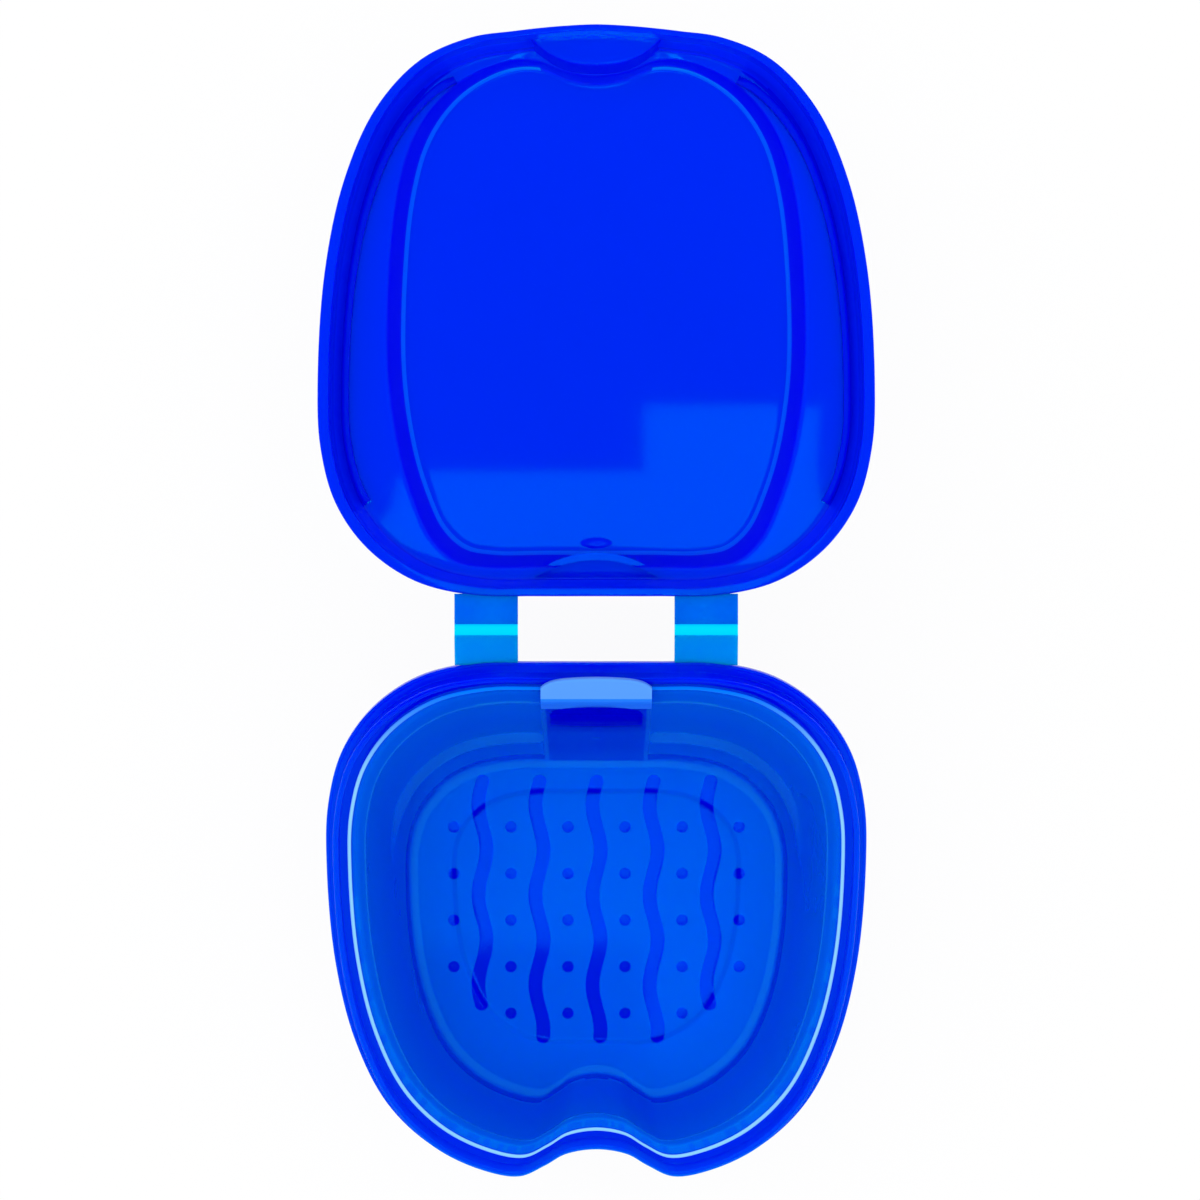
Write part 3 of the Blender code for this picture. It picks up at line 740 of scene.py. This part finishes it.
def grip_rings():
    """Cutter for the finger slot right under the handle's lip, upright as the mould opens."""
    half = HANDLE_HALF_WIDTH - GRIP_SIDE
    shares = [2 * step / ARC_STEPS - 1 for step in range(ARC_STEPS + 1)]
    rear = [Vector((share * half, GRIP_REAR + GRIP_BOW * share ** 2 + GRIP_END_BOW * abs(share) ** 14))
            for share in shares]
    front = [Vector((share * half, GRIP_FRONT - GRIP_SAG * share ** 2)) for share in reversed(shares)]
    return prism(on_table, rear + front, HINGE_HEIGHT / 3, HINGE_HEIGHT * 3 / 2)


def gate_rings():
    """Cutter for the round gate mark on the lower face of the handle."""
    outline = circle_outline(0, 0, GATE_RADIUS)
    knee = on_rim(0, edge_plan().rear + EDGE_WIDTH, SEAT_GAP + EDGE_THICKNESS)
    foot = on_table(0, floor_plan().rear, basket_height() - BASKET_WALL / 2)
    along = (knee - foot).normalized()
    through = Vector((0, along.z, -along.y))
    middle = foot + along * (GATE_HEIGHT - foot.z) / along.z - through * HANDLE_PROUD
    rings = []
    for depth in (-GATE_DEPTH, GATE_DEPTH):
        level = middle + through * depth
        rings.append([level + Vector((point.x, 0, 0)) + along * point.y for point in outline])
    return rings


def lid_rings():
    """The lid as one skin: up the outside over skirt, shoulder and top, then back down the inside."""
    lid = lid_plan()
    drafted = lid.inset(SKIRT_DRAFT, rear_by=REAR_DRAFT)
    top = Plan(lid.half_width - TOP_SIDE_INSET, lid.rear + TOP_REAR_INSET, TOP_WIDEST,
               lid.front - TOP_FRONT_INSET, SCOOP_DEPTH, TOP_SHARES)
    step_foot = top.inset(-TOP_STEP, front_by=-TOP_FRONT_STEP)
    skirt_thickness = LID_OVERHANG + LIP_INSET - LIP_CLEARANCE
    skirt = lid.inset(skirt_thickness, rear_by=LIP_REAR_INSET - LIP_CLEARANCE, front_by=LID_FRONT_SKIRT)
    high_skirt = lid.inset(skirt_thickness, rear_by=LID_REAR_WALL, front_by=LID_FRONT_SKIRT)
    wall = drafted.inset(LID_WALL, front_by=LID_FRONT_WALL)
    shoulder = LID_SHOULDER
    outer = shoulder + LID_WALL
    outside = [
        (top.inset(2 * TOP_ROUND), LID_DEPTH + LID_WALL, 0),
        (top, LID_DEPTH + LID_WALL, 6 * FINE),
        (step_foot.inset(-LID_WALL, front_by=-LID_WALL / 2), outer, 6 * FINE),
        (drafted, outer, 12 * FINE),
        (lid, SKIRT_BAND, 2 * FINE),
        (lid, LID_GAP, 3 * FINE),
    ]
    inside = [
        (skirt, LID_GAP, 2 * FINE),
        (skirt, SKIRT_BAND, FINE),
        (high_skirt, SKIRT_BAND + LID_GAP, FINE),
        (high_skirt, handle_height() + LID_GAP, 2 * FINE),
        (wall, shoulder - SHOULDER_ROUND * 2, 2 * FINE),
        (wall.inset(SHOULDER_ROUND, front_by=0), shoulder, 8 * FINE),
        (step_foot, shoulder, 6 * FINE),
        (top, LID_DEPTH, 6 * FINE),
        (top.inset(2 * TOP_ROUND), LID_DEPTH, 0),
    ]
    return rounded([(ring(on_lid, plan, height), reach) for plan, height, reach in outside + inside])


def rib_rings(side):
    """A low curved rib beside the skirt, from near the hinge to near the front, sloping off at its ends."""
    lid = lid_plan()
    outer = lid.inset(RIB_INSET)
    inner = outer.inset(RIB_THICKNESS)
    low = LID_SHOULDER - RIB_HEIGHT
    high = LID_SHOULDER + LID_WALL / 2
    start = lid.rear + RIB_REAR_MARGIN
    end = lid.front - RIB_FRONT_MARGIN
    rings = []
    for near, far in zip(outer.points(), inner.points()):
        if near.x > 0 and start < near.y < end:
            from_end = min(near.y - start, end - near.y) / RIB_END
            drop = (high - low) * 0.5 * max(0, 1 - from_end) ** 2
            corners = ((near, low + drop), (far, low + drop), (far, high), (near, high))
            profile = [Vector((side * point.x, point.y, height)) for point, height in corners]
            rings.append([on_lid(*point) for point in soft_corners(profile, RIB_SOFTNESS, ROUND_STEPS)])
    return rings


def pocket_outline(margin):
    """The D-shaped outline of the rear pocket: a straight chord and a bowed side."""
    half = HANDLE_HALF_WIDTH + POCKET_MARGIN + margin
    rear = RIM_REAR + POCKET_REAR_INSET
    outline = []
    for step in range(ARC_STEPS + 1):
        share = 2 * step / ARC_STEPS - 1
        outline.append(Vector((share * half, rear + (POCKET_REACH + margin) * (1 - share * share))))
    outline.append(Vector((half, rear - margin)))
    outline.append(Vector((-half, rear - margin)))
    return outline


def pocket_rings():
    """Cutter for the rear pocket, whose floor slopes a little towards the hinge."""
    low = LID_SHOULDER - LID_WALL
    rear = RIM_REAR + POCKET_REAR_INSET
    outline = pocket_outline(0)
    floor = [on_lid(point.x, point.y, LID_SHOULDER + POCKET_DEPTH - POCKET_SLOPE * (point.y - rear))
             for point in outline]
    return [[on_lid(point.x, point.y, low) for point in outline], floor]


def thumb_outline(margin):
    """The U-shaped outline of the plateau behind the thumb recess at the front of the lid."""
    half = THUMB_HALF_WIDTH + margin
    reach = THUMB_REACH + margin
    outline = []
    for step in range(ARC_STEPS + 1):
        share = 1 - 2 * step / ARC_STEPS
        outline.append(Vector((share * half, THUMB_FRONT - reach * (1 - abs(share) ** THUMB_POWER))))
    return outline


def thumb_rings():
    """The plateau as a block with sloping flanks and a soft upper edge, seen from inside the lid."""
    foot = [on_lid(point.x, point.y, LID_SHOULDER + LID_WALL / 2) for point in thumb_outline(0)]
    high = [on_lid(point.x, point.y, THUMB_TOP) for point in thumb_outline(-THUMB_FLANK)]
    middle = [on_lid(point.x, point.y, THUMB_TOP) for point in thumb_outline(-2 * THUMB_FLANK)]
    return rounded([(foot, 0), (high, THUMB_FLANK / 2), (middle, 0)])


def recess_rings():
    """Cutter for the thumb recess in the outside of the lid, right over the plateau."""
    outline = [Vector((point.x, point.y)) for point in thumb_outline(-THUMB_FLANK - LID_WALL)]
    front = lid_plan().front + LID_WALL
    outline += [Vector((outline[-1].x, front)), Vector((outline[0].x, front))]
    return prism(on_lid, outline, THUMB_TOP + LID_WALL, LID_SHOULDER + 2 * LID_WALL)


def mark_rings():
    """The low oval gate mark near the rear of the lid's panel."""
    rings = []
    for share, height in ((1.0, -1.0), (1.0, 0.1), (0.8, 0.7), (0.4, 1.0)):
        depth = LID_DEPTH - MARK_RISE * height
        rings.append([on_lid(MARK_HALF_WIDTH * share * point.x,
                             MARK_AWAY + MARK_HALF_LENGTH * share * point.y, depth)
                      for point in circle_outline(0, 0, 1)])
    return rings


def leaf_rings(place, side, low, high):
    """One leaf of a hinge strap, from its film to its root, with soft edges."""
    middle = side * STRAP_MIDDLE_SHARE * RIM_HALF_WIDTH
    near = FILM_LENGTH / 2
    root = RIM_REAR + STRAP_ROOT
    rings = []
    for away in (near, root):
        profile = [place(middle + across, away, height)
                   for across, height in ((-STRAP_WIDTH / 2, low), (STRAP_WIDTH / 2, low),
                                          (STRAP_WIDTH / 2, high), (-STRAP_WIDTH / 2, high))]
        rings.append(soft_corners(profile, 2 * FINE, 3))
    return rings


def film_rings(side):
    """The thin film between the two leaves, thinnest over the hinge axis."""
    middle = side * STRAP_MIDDLE_SHARE * RIM_HALF_WIDTH
    base_centre = -STRAP_DROP - STRAP_THICKNESS / 2
    lid_centre = STRAP_DROP + LID_GAP + STRAP_THICKNESS / 2
    reach = FILM_LENGTH / 2 + FILM_LAP
    start = on_rim(middle, reach, base_centre)
    end = on_lid(middle, reach, lid_centre)
    rings = []
    for step in range(FILM_STEPS + 1):
        share = step / FILM_STEPS
        centre = start.lerp(end, share)
        half = FILM_THICKNESS / 2 * (FILM_WAIST + (1 - FILM_WAIST) * (2 * share - 1) ** 2)
        rings.append([centre + Vector((across, 0, height))
                      for across, height in ((-STRAP_WIDTH / 2, -half), (STRAP_WIDTH / 2, -half),
                                             (STRAP_WIDTH / 2, half), (-STRAP_WIDTH / 2, half))])
    return rings


def new_plastic(name, colour, tint, roughness, grain_strength, alpha=1.0, scatter=0.0,
                steep_shade_colour=None, rear_shade_colour=None):
    """A moulded plastic with flow marks, an uneven gloss and a fine grain.

    A darker colour on steep walls is painted shade. Towards the hinge the colour passes over to a rear colour,
    a painted shade into which painted light fades out.
    """
    material = bpy.data.materials.new(name)
    material.use_nodes = True
    nodes = material.node_tree.nodes
    links = material.node_tree.links
    shader = nodes["Principled BSDF"]
    place = nodes.new("ShaderNodeTexCoord")
    # Painted shade: the steeper the face, the more of the darker colour it gets
    facing = nodes.new("ShaderNodeSeparateXYZ")
    links.new(place.outputs["Normal"], facing.inputs["Vector"])
    level = nodes.new("ShaderNodeMath")
    level.operation = "ABSOLUTE"
    links.new(facing.outputs["Z"], level.inputs[0])
    slope = nodes.new("ShaderNodeMapRange")
    slope.interpolation_type = "SMOOTHSTEP"
    slope.inputs["From Min"].default_value = STEEP_LEVEL
    slope.inputs["From Max"].default_value = FLAT_LEVEL
    links.new(level.outputs["Value"], slope.inputs["Value"])
    depth = nodes.new("ShaderNodeMix")
    depth.data_type = "RGBA"
    depth.inputs["A"].default_value = (*(steep_shade_colour or colour), 1.0)
    depth.inputs["B"].default_value = (*colour, 1.0)
    links.new(slope.outputs["Result"], depth.inputs["Factor"])
    ground = depth.outputs["Result"]
    # Painted shade towards the hinge: the colour fades over to the rear colour there
    if rear_shade_colour:
        spot = nodes.new("ShaderNodeSeparateXYZ")
        links.new(place.outputs["Object"], spot.inputs["Vector"])
        rearness = nodes.new("ShaderNodeMapRange")
        rearness.interpolation_type = "SMOOTHSTEP"
        rearness.inputs["From Min"].default_value = HINGE_BACK - REAR_FADE_START
        rearness.inputs["From Max"].default_value = HINGE_BACK - REAR_FADE_END
        links.new(spot.outputs["Y"], rearness.inputs["Value"])
        passing = nodes.new("ShaderNodeMix")
        passing.data_type = "RGBA"
        passing.inputs["B"].default_value = (*rear_shade_colour, 1.0)
        links.new(ground, passing.inputs["A"])
        links.new(rearness.outputs["Result"], passing.inputs["Factor"])
        ground = passing.outputs["Result"]
    flow = nodes.new("ShaderNodeTexNoise")
    flow.inputs["Scale"].default_value = FLOW_SCALE
    flow.inputs["Detail"].default_value = 3.0
    links.new(place.outputs["Object"], flow.inputs["Vector"])
    tone = nodes.new("ShaderNodeMapRange")
    tone.inputs["To Min"].default_value = 1 - FLOW_SWING
    tone.inputs["To Max"].default_value = 1 + FLOW_SWING
    links.new(flow.outputs["Fac"], tone.inputs["Value"])
    shade = nodes.new("ShaderNodeVectorMath")
    shade.operation = "SCALE"
    links.new(ground, shade.inputs["Vector"])
    links.new(tone.outputs["Result"], shade.inputs["Scale"])
    links.new(shade.outputs["Vector"], shader.inputs["Base Color"])
    gloss = nodes.new("ShaderNodeMapRange")
    gloss.inputs["To Min"].default_value = roughness * (1 - GLOSS_SWING)
    gloss.inputs["To Max"].default_value = roughness * (1 + GLOSS_SWING)
    links.new(flow.outputs["Fac"], gloss.inputs["Value"])
    links.new(gloss.outputs["Result"], shader.inputs["Roughness"])
    grain = nodes.new("ShaderNodeTexNoise")
    grain.inputs["Scale"].default_value = GRAIN_SCALE
    grain.inputs["Detail"].default_value = 2.0
    links.new(place.outputs["Object"], grain.inputs["Vector"])
    bump = nodes.new("ShaderNodeBump")
    bump.inputs["Strength"].default_value = grain_strength
    bump.inputs["Distance"].default_value = GRAIN_DEPTH
    links.new(grain.outputs["Fac"], bump.inputs["Height"])
    links.new(bump.outputs["Normal"], shader.inputs["Normal"])
    shader.inputs["Specular Tint"].default_value = (*tint, 1.0)
    shader.inputs["IOR"].default_value = PLASTIC_IOR
    shader.inputs["Alpha"].default_value = alpha
    shader.inputs["Subsurface Weight"].default_value = scatter
    shader.inputs["Subsurface Radius"].default_value = SCATTER_SHARES
    shader.inputs["Subsurface Scale"].default_value = SCATTER_REACH
    return material


def paint(piece, slot, chosen):
    """Gives a material slot to the faces whose middle and normal the test picks."""
    for polygon in piece.data.polygons:
        if chosen(polygon.center, polygon.normal):
            polygon.material_index = slot


def height_over_rim(point):
    return (HINGE_BACK - point.y) * math.sin(RIM_TILT) + (point.z - HINGE_HEIGHT) * math.cos(RIM_TILT)


def inside_tub(point, normal):
    """True on the wall and floor inside the tub, which face its middle or up."""
    middle = Vector((0, HINGE_BACK - TUB_WIDEST, point.z))
    return height_over_rim(point) < -MM / 2 and point.z > TUB_FLOOR / 2 and (
        normal.z > 0.5 or normal.dot(middle - point) > 0)


def build_tub(materials):
    tub = new_piece("tub", [tub_rings()], materials)
    # Painted light: the rim gets a lighter blue, which fades into the tub's blue towards the hinge
    paint(tub, 1, lambda point, normal: height_over_rim(point) > -FLANGE_THICKNESS)
    # Painted light: the wall and floor inside the tub get a lighter blue, brightening its shaded hollow
    paint(tub, 2, lambda point, normal: inside_tub(point, normal))
    even_normals(tub)
    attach(tub, "base")
    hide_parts("base_tub")


def depth_in_lid(point):
    """The height over the rim plane if the lid were closed."""
    return HINGE_HEIGHT - point.z


def inside_lid(point, normal):
    """True where a face of the lid points to its middle or up into its hollow."""
    middle = Vector((0, HINGE_BACK + TOP_WIDEST, point.z))
    return normal.z > 0.3 or normal.dot(middle - point) > 0


def on_lid_wall(point, normal):
    depth = depth_in_lid(point)
    return inside_lid(point, normal) and normal.z < 0.6 and SKIRT_BAND / 2 < depth < LID_SHOULDER


def on_lid_step(point, normal):
    depth = depth_in_lid(point)
    return inside_lid(point, normal) and normal.z < 0.8 and LID_SHOULDER < depth < LID_DEPTH - MM / 2


# Painted highlight: picks the rounding along the edge of the top, except at the middle of the front
def on_lid_highlight(point, normal):
    beside = abs(point.x) > LID_HIGHLIGHT_BREAK or point.y < HINGE_BACK + TOP_WIDEST
    return beside and 0.1 < normal.z < 0.97 and LID_DEPTH - MM * 0.6 < depth_in_lid(point) < LID_DEPTH


def build_lid(materials):
    material = materials[0]
    # The darker blue of painted shade, also used for the gate mark and the ribs
    painted_shade = materials[2]
    lid = new_piece("lid", [lid_rings()], materials)
    # Painted light: the lid's inner walls get a lighter blue
    paint(lid, 1, on_lid_wall)
    # Painted shade: the step walls round the top get a darker blue
    paint(lid, 2, on_lid_step)
    # Painted highlight: a lighter line along the edge of the top
    paint(lid, 3, on_lid_highlight)
    boss = prism(on_lid, pocket_outline(LID_WALL), LID_SHOULDER + LID_WALL / 2,
                 LID_SHOULDER + POCKET_DEPTH + LID_WALL)
    shape_with(lid, new_piece("pocket_boss", [boss], [material]), "UNION")
    shape_with(lid, new_piece("pocket", [pocket_rings()], [material]), "DIFFERENCE")
    plateau = new_piece("thumb_plateau", [thumb_rings()], materials)
    # Painted shade on the plateau's flanks
    paint(plateau, 2, lambda point, normal: normal.z < 0.8)
    shape_with(lid, plateau, "UNION")
    shape_with(lid, new_piece("thumb_recess", [recess_rings()], [material]), "DIFFERENCE")
    # The gate mark in the darker blue of painted shade
    shape_with(lid, new_piece("gate_mark", [mark_rings()], [painted_shade]), "UNION")
    even_normals(lid)
    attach(lid, "lid")
    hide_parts("lid_shell")
    # The ribs in the darker blue of painted shade
    for name, side in (("lid_rib_left", -1), ("lid_rib_right", 1)):
        rib = new_piece(name, [rib_rings(side)], [painted_shade])
        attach(rib, "lid")


def build_straps(base_material, lid_material, film_material):
    # The leaves and films carry painted light: lighter blues than the tub and lid, for light shining through
    # the thin plastic
    lid_low = STRAP_DROP + LID_GAP
    for word, side in (("left", -1), ("right", 1)):
        base_leaf = new_piece(f"base_leaf_{word}", [leaf_rings(on_rim, side, -STRAP_DROP - STRAP_THICKNESS,
                                                               -STRAP_DROP)], [base_material])
        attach(base_leaf, "base")
        lid_leaf = new_piece(f"lid_leaf_{word}", [leaf_rings(on_lid, side, lid_low,
                                                             lid_low + STRAP_THICKNESS)], [lid_material])
        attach(lid_leaf, "lid")
        rings = film_rings(side)
        film = new_piece(f"film_{word}", [rings], [film_material])
        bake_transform(film)
        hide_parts(f"hinge_film_{word}")


def on_fillet(point, normal, least, most):
    """True on the inside of the basket's floor rounding, where the normal's upward share is in the range."""
    top = basket_height() + BASKET_FILLET * 1.2
    return least < normal.z < most and basket_height() < point.z < top


def on_ledge(point, normal):
    """True on the upper side of the ledge round the rear of the basket's wall."""
    low = basket_height() + BASKET_FILLET * 1.5
    behind = point.y > HINGE_BACK - TUB_WIDEST
    return behind and normal.z > 0.45 and low < point.z < HINGE_HEIGHT * 0.65


def on_inner_corner(point, normal):
    """True on the rounding between the basket's flange and its wall."""
    top = SEAT_GAP + EDGE_THICKNESS
    return 0.25 < normal.z < 0.93 and top - 0.5 * MM < height_over_rim(point) < top + 0.01 * MM


def on_basket_wall(point, normal):
    """True on the inner side of the basket's wall, between the rounding of its floor and its flange."""
    middle = Vector((0, HINGE_BACK - TUB_WIDEST, point.z))
    low = basket_height() + BASKET_FILLET * 0.6
    return normal.z < 0.6 and point.z > low and height_over_rim(point) < SEAT_GAP and (
        normal.dot(middle - point) > 0)


def build_basket(materials):
    edge_top = SEAT_GAP + EDGE_THICKNESS
    basket = new_piece("basket", [basket_rings()], materials)
    # Painted light: the inner wall of the basket gets a lighter, less clear tone
    paint(basket, 5, on_basket_wall)
    # Painted highlight: the top of the bead gets a bright pale tone, which fades towards the hinge
    paint(basket, 2, lambda point, normal: height_over_rim(point) > edge_top + BEAD_HEIGHT * 0.8)
    # Painted highlight: a light band on the flatter part of the floor rounding
    paint(basket, 3, lambda point, normal: on_fillet(point, normal, 0.70, 0.998))
    # Painted shade: a dark line on the steeper part of the floor rounding
    paint(basket, 4, lambda point, normal: on_fillet(point, normal, 0.22, 0.55))
    # Painted light on the ledge round the rear of the wall
    paint(basket, 3, on_ledge)
    # Painted light on the rounding between flange and wall
    paint(basket, 3, on_inner_corner)
    handle = new_piece("handle", [handle_rings()], materials)
    side = HANDLE_HALF_WIDTH * (1 - 2 / HANDLE_STEPS)
    # Painted light on the handle's rounded ends
    paint(handle, 3, lambda point, normal: abs(point.x) > side)
    # Painted shade on the handle's forward face
    paint(handle, 4, lambda point, normal: normal.y < -0.5 and abs(point.x) < side)
    # Painted light: the handle's lip above the edge gets a paler tone
    paint(handle, 1, lambda point, normal: height_over_rim(point) > edge_top)
    # Painted highlight on the lip's forward face
    paint(handle, 2, lambda point, normal: normal.y < -0.5 and height_over_rim(point) > edge_top)
    shape_with(basket, handle, "UNION")
    shape_with(basket, new_piece("grip_slot", [grip_rings()], materials), "DIFFERENCE")
    shape_with(basket, new_piece("gate_mark", [gate_rings()], materials), "DIFFERENCE")
    shape_with(basket, new_piece("drain_openings", drain_prisms(), materials), "DIFFERENCE")
    even_normals(basket)
    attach(basket, "basket")
    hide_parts("strainer_basket")


def build_floor():
    """A white floor that keeps the object's soft shadow."""
    material = bpy.data.materials.new("white_floor")
    material.use_nodes = True
    nodes = material.node_tree.nodes
    links = material.node_tree.links
    nodes.clear()
    output = nodes.new("ShaderNodeOutputMaterial")
    mix = nodes.new("ShaderNodeMixShader")
    paper = nodes.new("ShaderNodeBsdfDiffuse")
    paper.inputs["Color"].default_value = (FLOOR_GREY, FLOOR_GREY, FLOOR_GREY, 1.0)
    glow = nodes.new("ShaderNodeEmission")
    glow.inputs["Color"].default_value = (1.0, 1.0, 1.0, 1.0)
    light_path = nodes.new("ShaderNodeLightPath")
    seen = nodes.new("ShaderNodeMath")
    seen.operation = "MAXIMUM"
    links.new(light_path.outputs["Is Camera Ray"], seen.inputs[0])
    links.new(light_path.outputs["Is Glossy Ray"], seen.inputs[1])
    seen_too = nodes.new("ShaderNodeMath")
    seen_too.operation = "MAXIMUM"
    links.new(seen.outputs["Value"], seen_too.inputs[0])
    links.new(light_path.outputs["Is Transmission Ray"], seen_too.inputs[1])
    share = nodes.new("ShaderNodeMath")
    share.operation = "MULTIPLY"
    share.inputs[1].default_value = FLOOR_GLOW
    links.new(seen_too.outputs["Value"], share.inputs[0])
    links.new(share.outputs["Value"], mix.inputs["Fac"])
    links.new(paper.outputs["BSDF"], mix.inputs[1])
    links.new(glow.outputs["Emission"], mix.inputs[2])
    links.new(mix.outputs["Shader"], output.inputs["Surface"])
    mesh = bpy.data.meshes.new("floor")
    corners = [(across * FLOOR_REACH, along * FLOOR_REACH, 0)
               for across, along in ((-1, -1), (1, -1), (1, 1), (-1, 1))]
    mesh.from_pydata(corners, [], [(0, 1, 2, 3)])
    mesh.materials.append(material)
    floor = bpy.data.objects.new("floor", mesh)
    floor.location.z = -FLOOR_DROP
    bpy.context.scene.collection.objects.link(floor)


def build_world():
    world = bpy.data.worlds.new("studio")
    bpy.context.scene.world = world
    world.use_nodes = True
    nodes = world.node_tree.nodes
    links = world.node_tree.links
    sky = nodes["Background"]
    sky.inputs["Color"].default_value = (1.0, 1.0, 1.0, 1.0)
    sky.inputs["Strength"].default_value = SKY_STRENGTH
    seen = nodes.new("ShaderNodeBackground")
    seen.inputs["Color"].default_value = (1.0, 1.0, 1.0, 1.0)
    seen.inputs["Strength"].default_value = 1.0
    light_path = nodes.new("ShaderNodeLightPath")
    mix = nodes.new("ShaderNodeMixShader")
    links.new(light_path.outputs["Is Camera Ray"], mix.inputs["Fac"])
    links.new(sky.outputs["Background"], mix.inputs[1])
    links.new(seen.outputs["Background"], mix.inputs[2])
    links.new(mix.outputs["Shader"], nodes["World Output"].inputs["Surface"])


def add_area_light(name, place, aim, width, depth, radiance):
    """A rectangular lamp whose power follows from its size and its radiance."""
    lamp = bpy.data.lights.new(name, "AREA")
    lamp.shape = "RECTANGLE"
    lamp.size = width
    lamp.size_y = depth
    lamp.energy = 4 * width * depth * radiance
    light = bpy.data.objects.new(name, lamp)
    light.location = place
    light.rotation_euler = (Vector(aim) - Vector(place)).to_track_quat("-Z", "Y").to_euler()
    light.visible_camera = False
    bpy.context.scene.collection.objects.link(light)
    return light


def add_card(name, left, right, front, back, radiance):
    """A lamp high over the case that its flat plastic mirrors."""
    place = (CAMERA_ACROSS + (left + right) / 2, CAMERA_BACK + (front + back) / 2, CARD_HEIGHT)
    add_area_light(name, place, (place[0], place[1], 0), right - left, back - front, radiance)


def build_lights():
    """Cards right above that the plastic mirrors, a broad soft light over all and one from the side."""
    add_card("card_left", CARD_LEFT, CARD_SPLIT, CARD_FOLD, CARD_LEFT_BACK, CARD_RADIANCE)
    add_card("card_right", CARD_SPLIT, CARD_RIGHT, CARD_FOLD, CARD_RIGHT_BACK, CARD_RADIANCE)
    radiance = TUB_CARD_RADIANCE
    add_card("tub_card_left", TUB_CARD_LEFT, CARD_SPLIT, TUB_CARD_LEFT_FRONT, CARD_FOLD, radiance)
    add_card("tub_card_right", CARD_SPLIT, TUB_CARD_RIGHT, TUB_CARD_RIGHT_FRONT, CARD_FOLD, radiance)
    middle = (0, CAMERA_BACK, 0)
    over = (0, CAMERA_BACK, TOP_LAMP_HEIGHT)
    top = add_area_light("top", over, middle, TOP_LAMP_SIZE, TOP_LAMP_SIZE, TOP_LAMP_RADIANCE)
    top.visible_glossy = False
    size = SIDE_LAMP_SIZE
    side = add_area_light("side", SIDE_LAMP_PLACE, middle, size, size, SIDE_LAMP_RADIANCE)
    side.visible_glossy = False


def build_camera():
    camera = bpy.data.cameras.new("camera")
    camera.sensor_width = SENSOR_WIDTH
    camera.lens = SENSOR_WIDTH * CAMERA_RISE / (PHOTO_PIXELS / PIXELS_PER_MM * MM)
    camera.clip_start = 0.01
    camera.clip_end = 10
    view = bpy.data.objects.new("camera", camera)
    view.location = (CAMERA_ACROSS, CAMERA_BACK, HINGE_HEIGHT + CAMERA_RISE)
    bpy.context.scene.collection.objects.link(view)
    bpy.context.scene.camera = view


def build():
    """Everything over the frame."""
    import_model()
    # The tub's darker tone on steep walls is painted shade
    tub_blue = new_plastic("tub_blue", TUB_BLUE, TUB_GLOSS, 0.04, 0.02, scatter=1.0, steep_shade_colour=TUB_STEEP_SHADE)
    # Painted light on the rim, fading to painted shade towards the hinge
    tub_rim_lit = new_plastic("tub_rim_painted_light", TUB_RIM_LIT_BLUE, BLUE_GLOSS, 0.08, 0.02, scatter=1.0,
                          rear_shade_colour=TUB_BLUE)
    # Painted light for the inside of the tub
    tub_inside_lit = new_plastic("tub_inside_painted_light", TUB_INSIDE_LIT_BLUE, TUB_GLOSS, 0.04, 0.02, scatter=1.0)
    lid_blue = new_plastic("lid_blue", LID_BLUE, BLUE_GLOSS, 0.03, 0.01, scatter=1.0)
    # Painted light for the lid's walls
    lid_wall_lit = new_plastic("lid_wall_painted_light", LID_WALL_LIT_BLUE, BLUE_GLOSS, 0.08, 0.02, scatter=1.0)
    # Painted shade for steps, flanks, ribs and the gate mark
    lid_shade = new_plastic("lid_painted_shade", LID_SHADE_BLUE, TUB_GLOSS, 0.1, 0.02, scatter=1.0)
    # Painted highlight for the edge of the lid's top
    lid_highlight = new_plastic("lid_painted_highlight", LID_HIGHLIGHT_BLUE, BLUE_GLOSS, 0.1, 0.02, scatter=1.0)
    # Painted light for the thin hinge leaves and films
    base_leaf = new_plastic("base_leaf_painted_light", BASE_LEAF_LIT_BLUE, BLUE_GLOSS, 0.25, 0.05, scatter=1.0)
    lid_leaf = new_plastic("lid_leaf_painted_light", LID_LEAF_LIT_BLUE, BLUE_GLOSS, 0.25, 0.05, scatter=1.0)
    film_lit_cyan = new_plastic("film_lit_cyan", FILM_LIT_CYAN, BLUE_GLOSS, 0.3, 0.05)
    natural = new_plastic("natural", NATURAL, NATURAL_GLOSS, 0.3, 0.2, alpha=0.23)
    # Painted light for the basket's inner wall
    wall = new_plastic("natural_wall_painted_light", NATURAL_WALL_LIT, BLUE_GLOSS, 0.3, 0.1, alpha=0.42)
    # Painted light for the handle's lip
    pale_lit = new_plastic("natural_pale_painted_light", HANDLE_LIT_PALE, BLUE_GLOSS, 0.3, 0.2, alpha=0.85)
    # Painted light and painted highlights for roundings, ledge and handle ends
    light = new_plastic("natural_painted_light", NATURAL_LIT, BLUE_GLOSS, 0.3, 0.1, alpha=0.30)
    # Painted shade for the floor rounding's dark line and the handle's face
    painted_shade = new_plastic("natural_painted_shade", NATURAL_SHADE, BLUE_GLOSS, 0.3, 0.1, alpha=0.35)
    # Painted highlight for the bead and the handle's lip
    edge = new_plastic("natural_edge_highlight", EDGE_HIGHLIGHT, BLUE_GLOSS, 0.3, 0.05, rear_shade_colour=EDGE_HIGHLIGHT_REAR)
    build_tub([tub_blue, tub_rim_lit, tub_inside_lit])
    build_lid([lid_blue, lid_wall_lit, lid_shade, lid_highlight])
    build_straps(base_leaf, lid_leaf, film_lit_cyan)
    build_basket([natural, pale_lit, edge, light, painted_shade, wall])
    build_floor()
    build_world()
    build_lights()
    build_camera()
    bpy.context.scene.view_settings.view_transform = "Standard"


build()
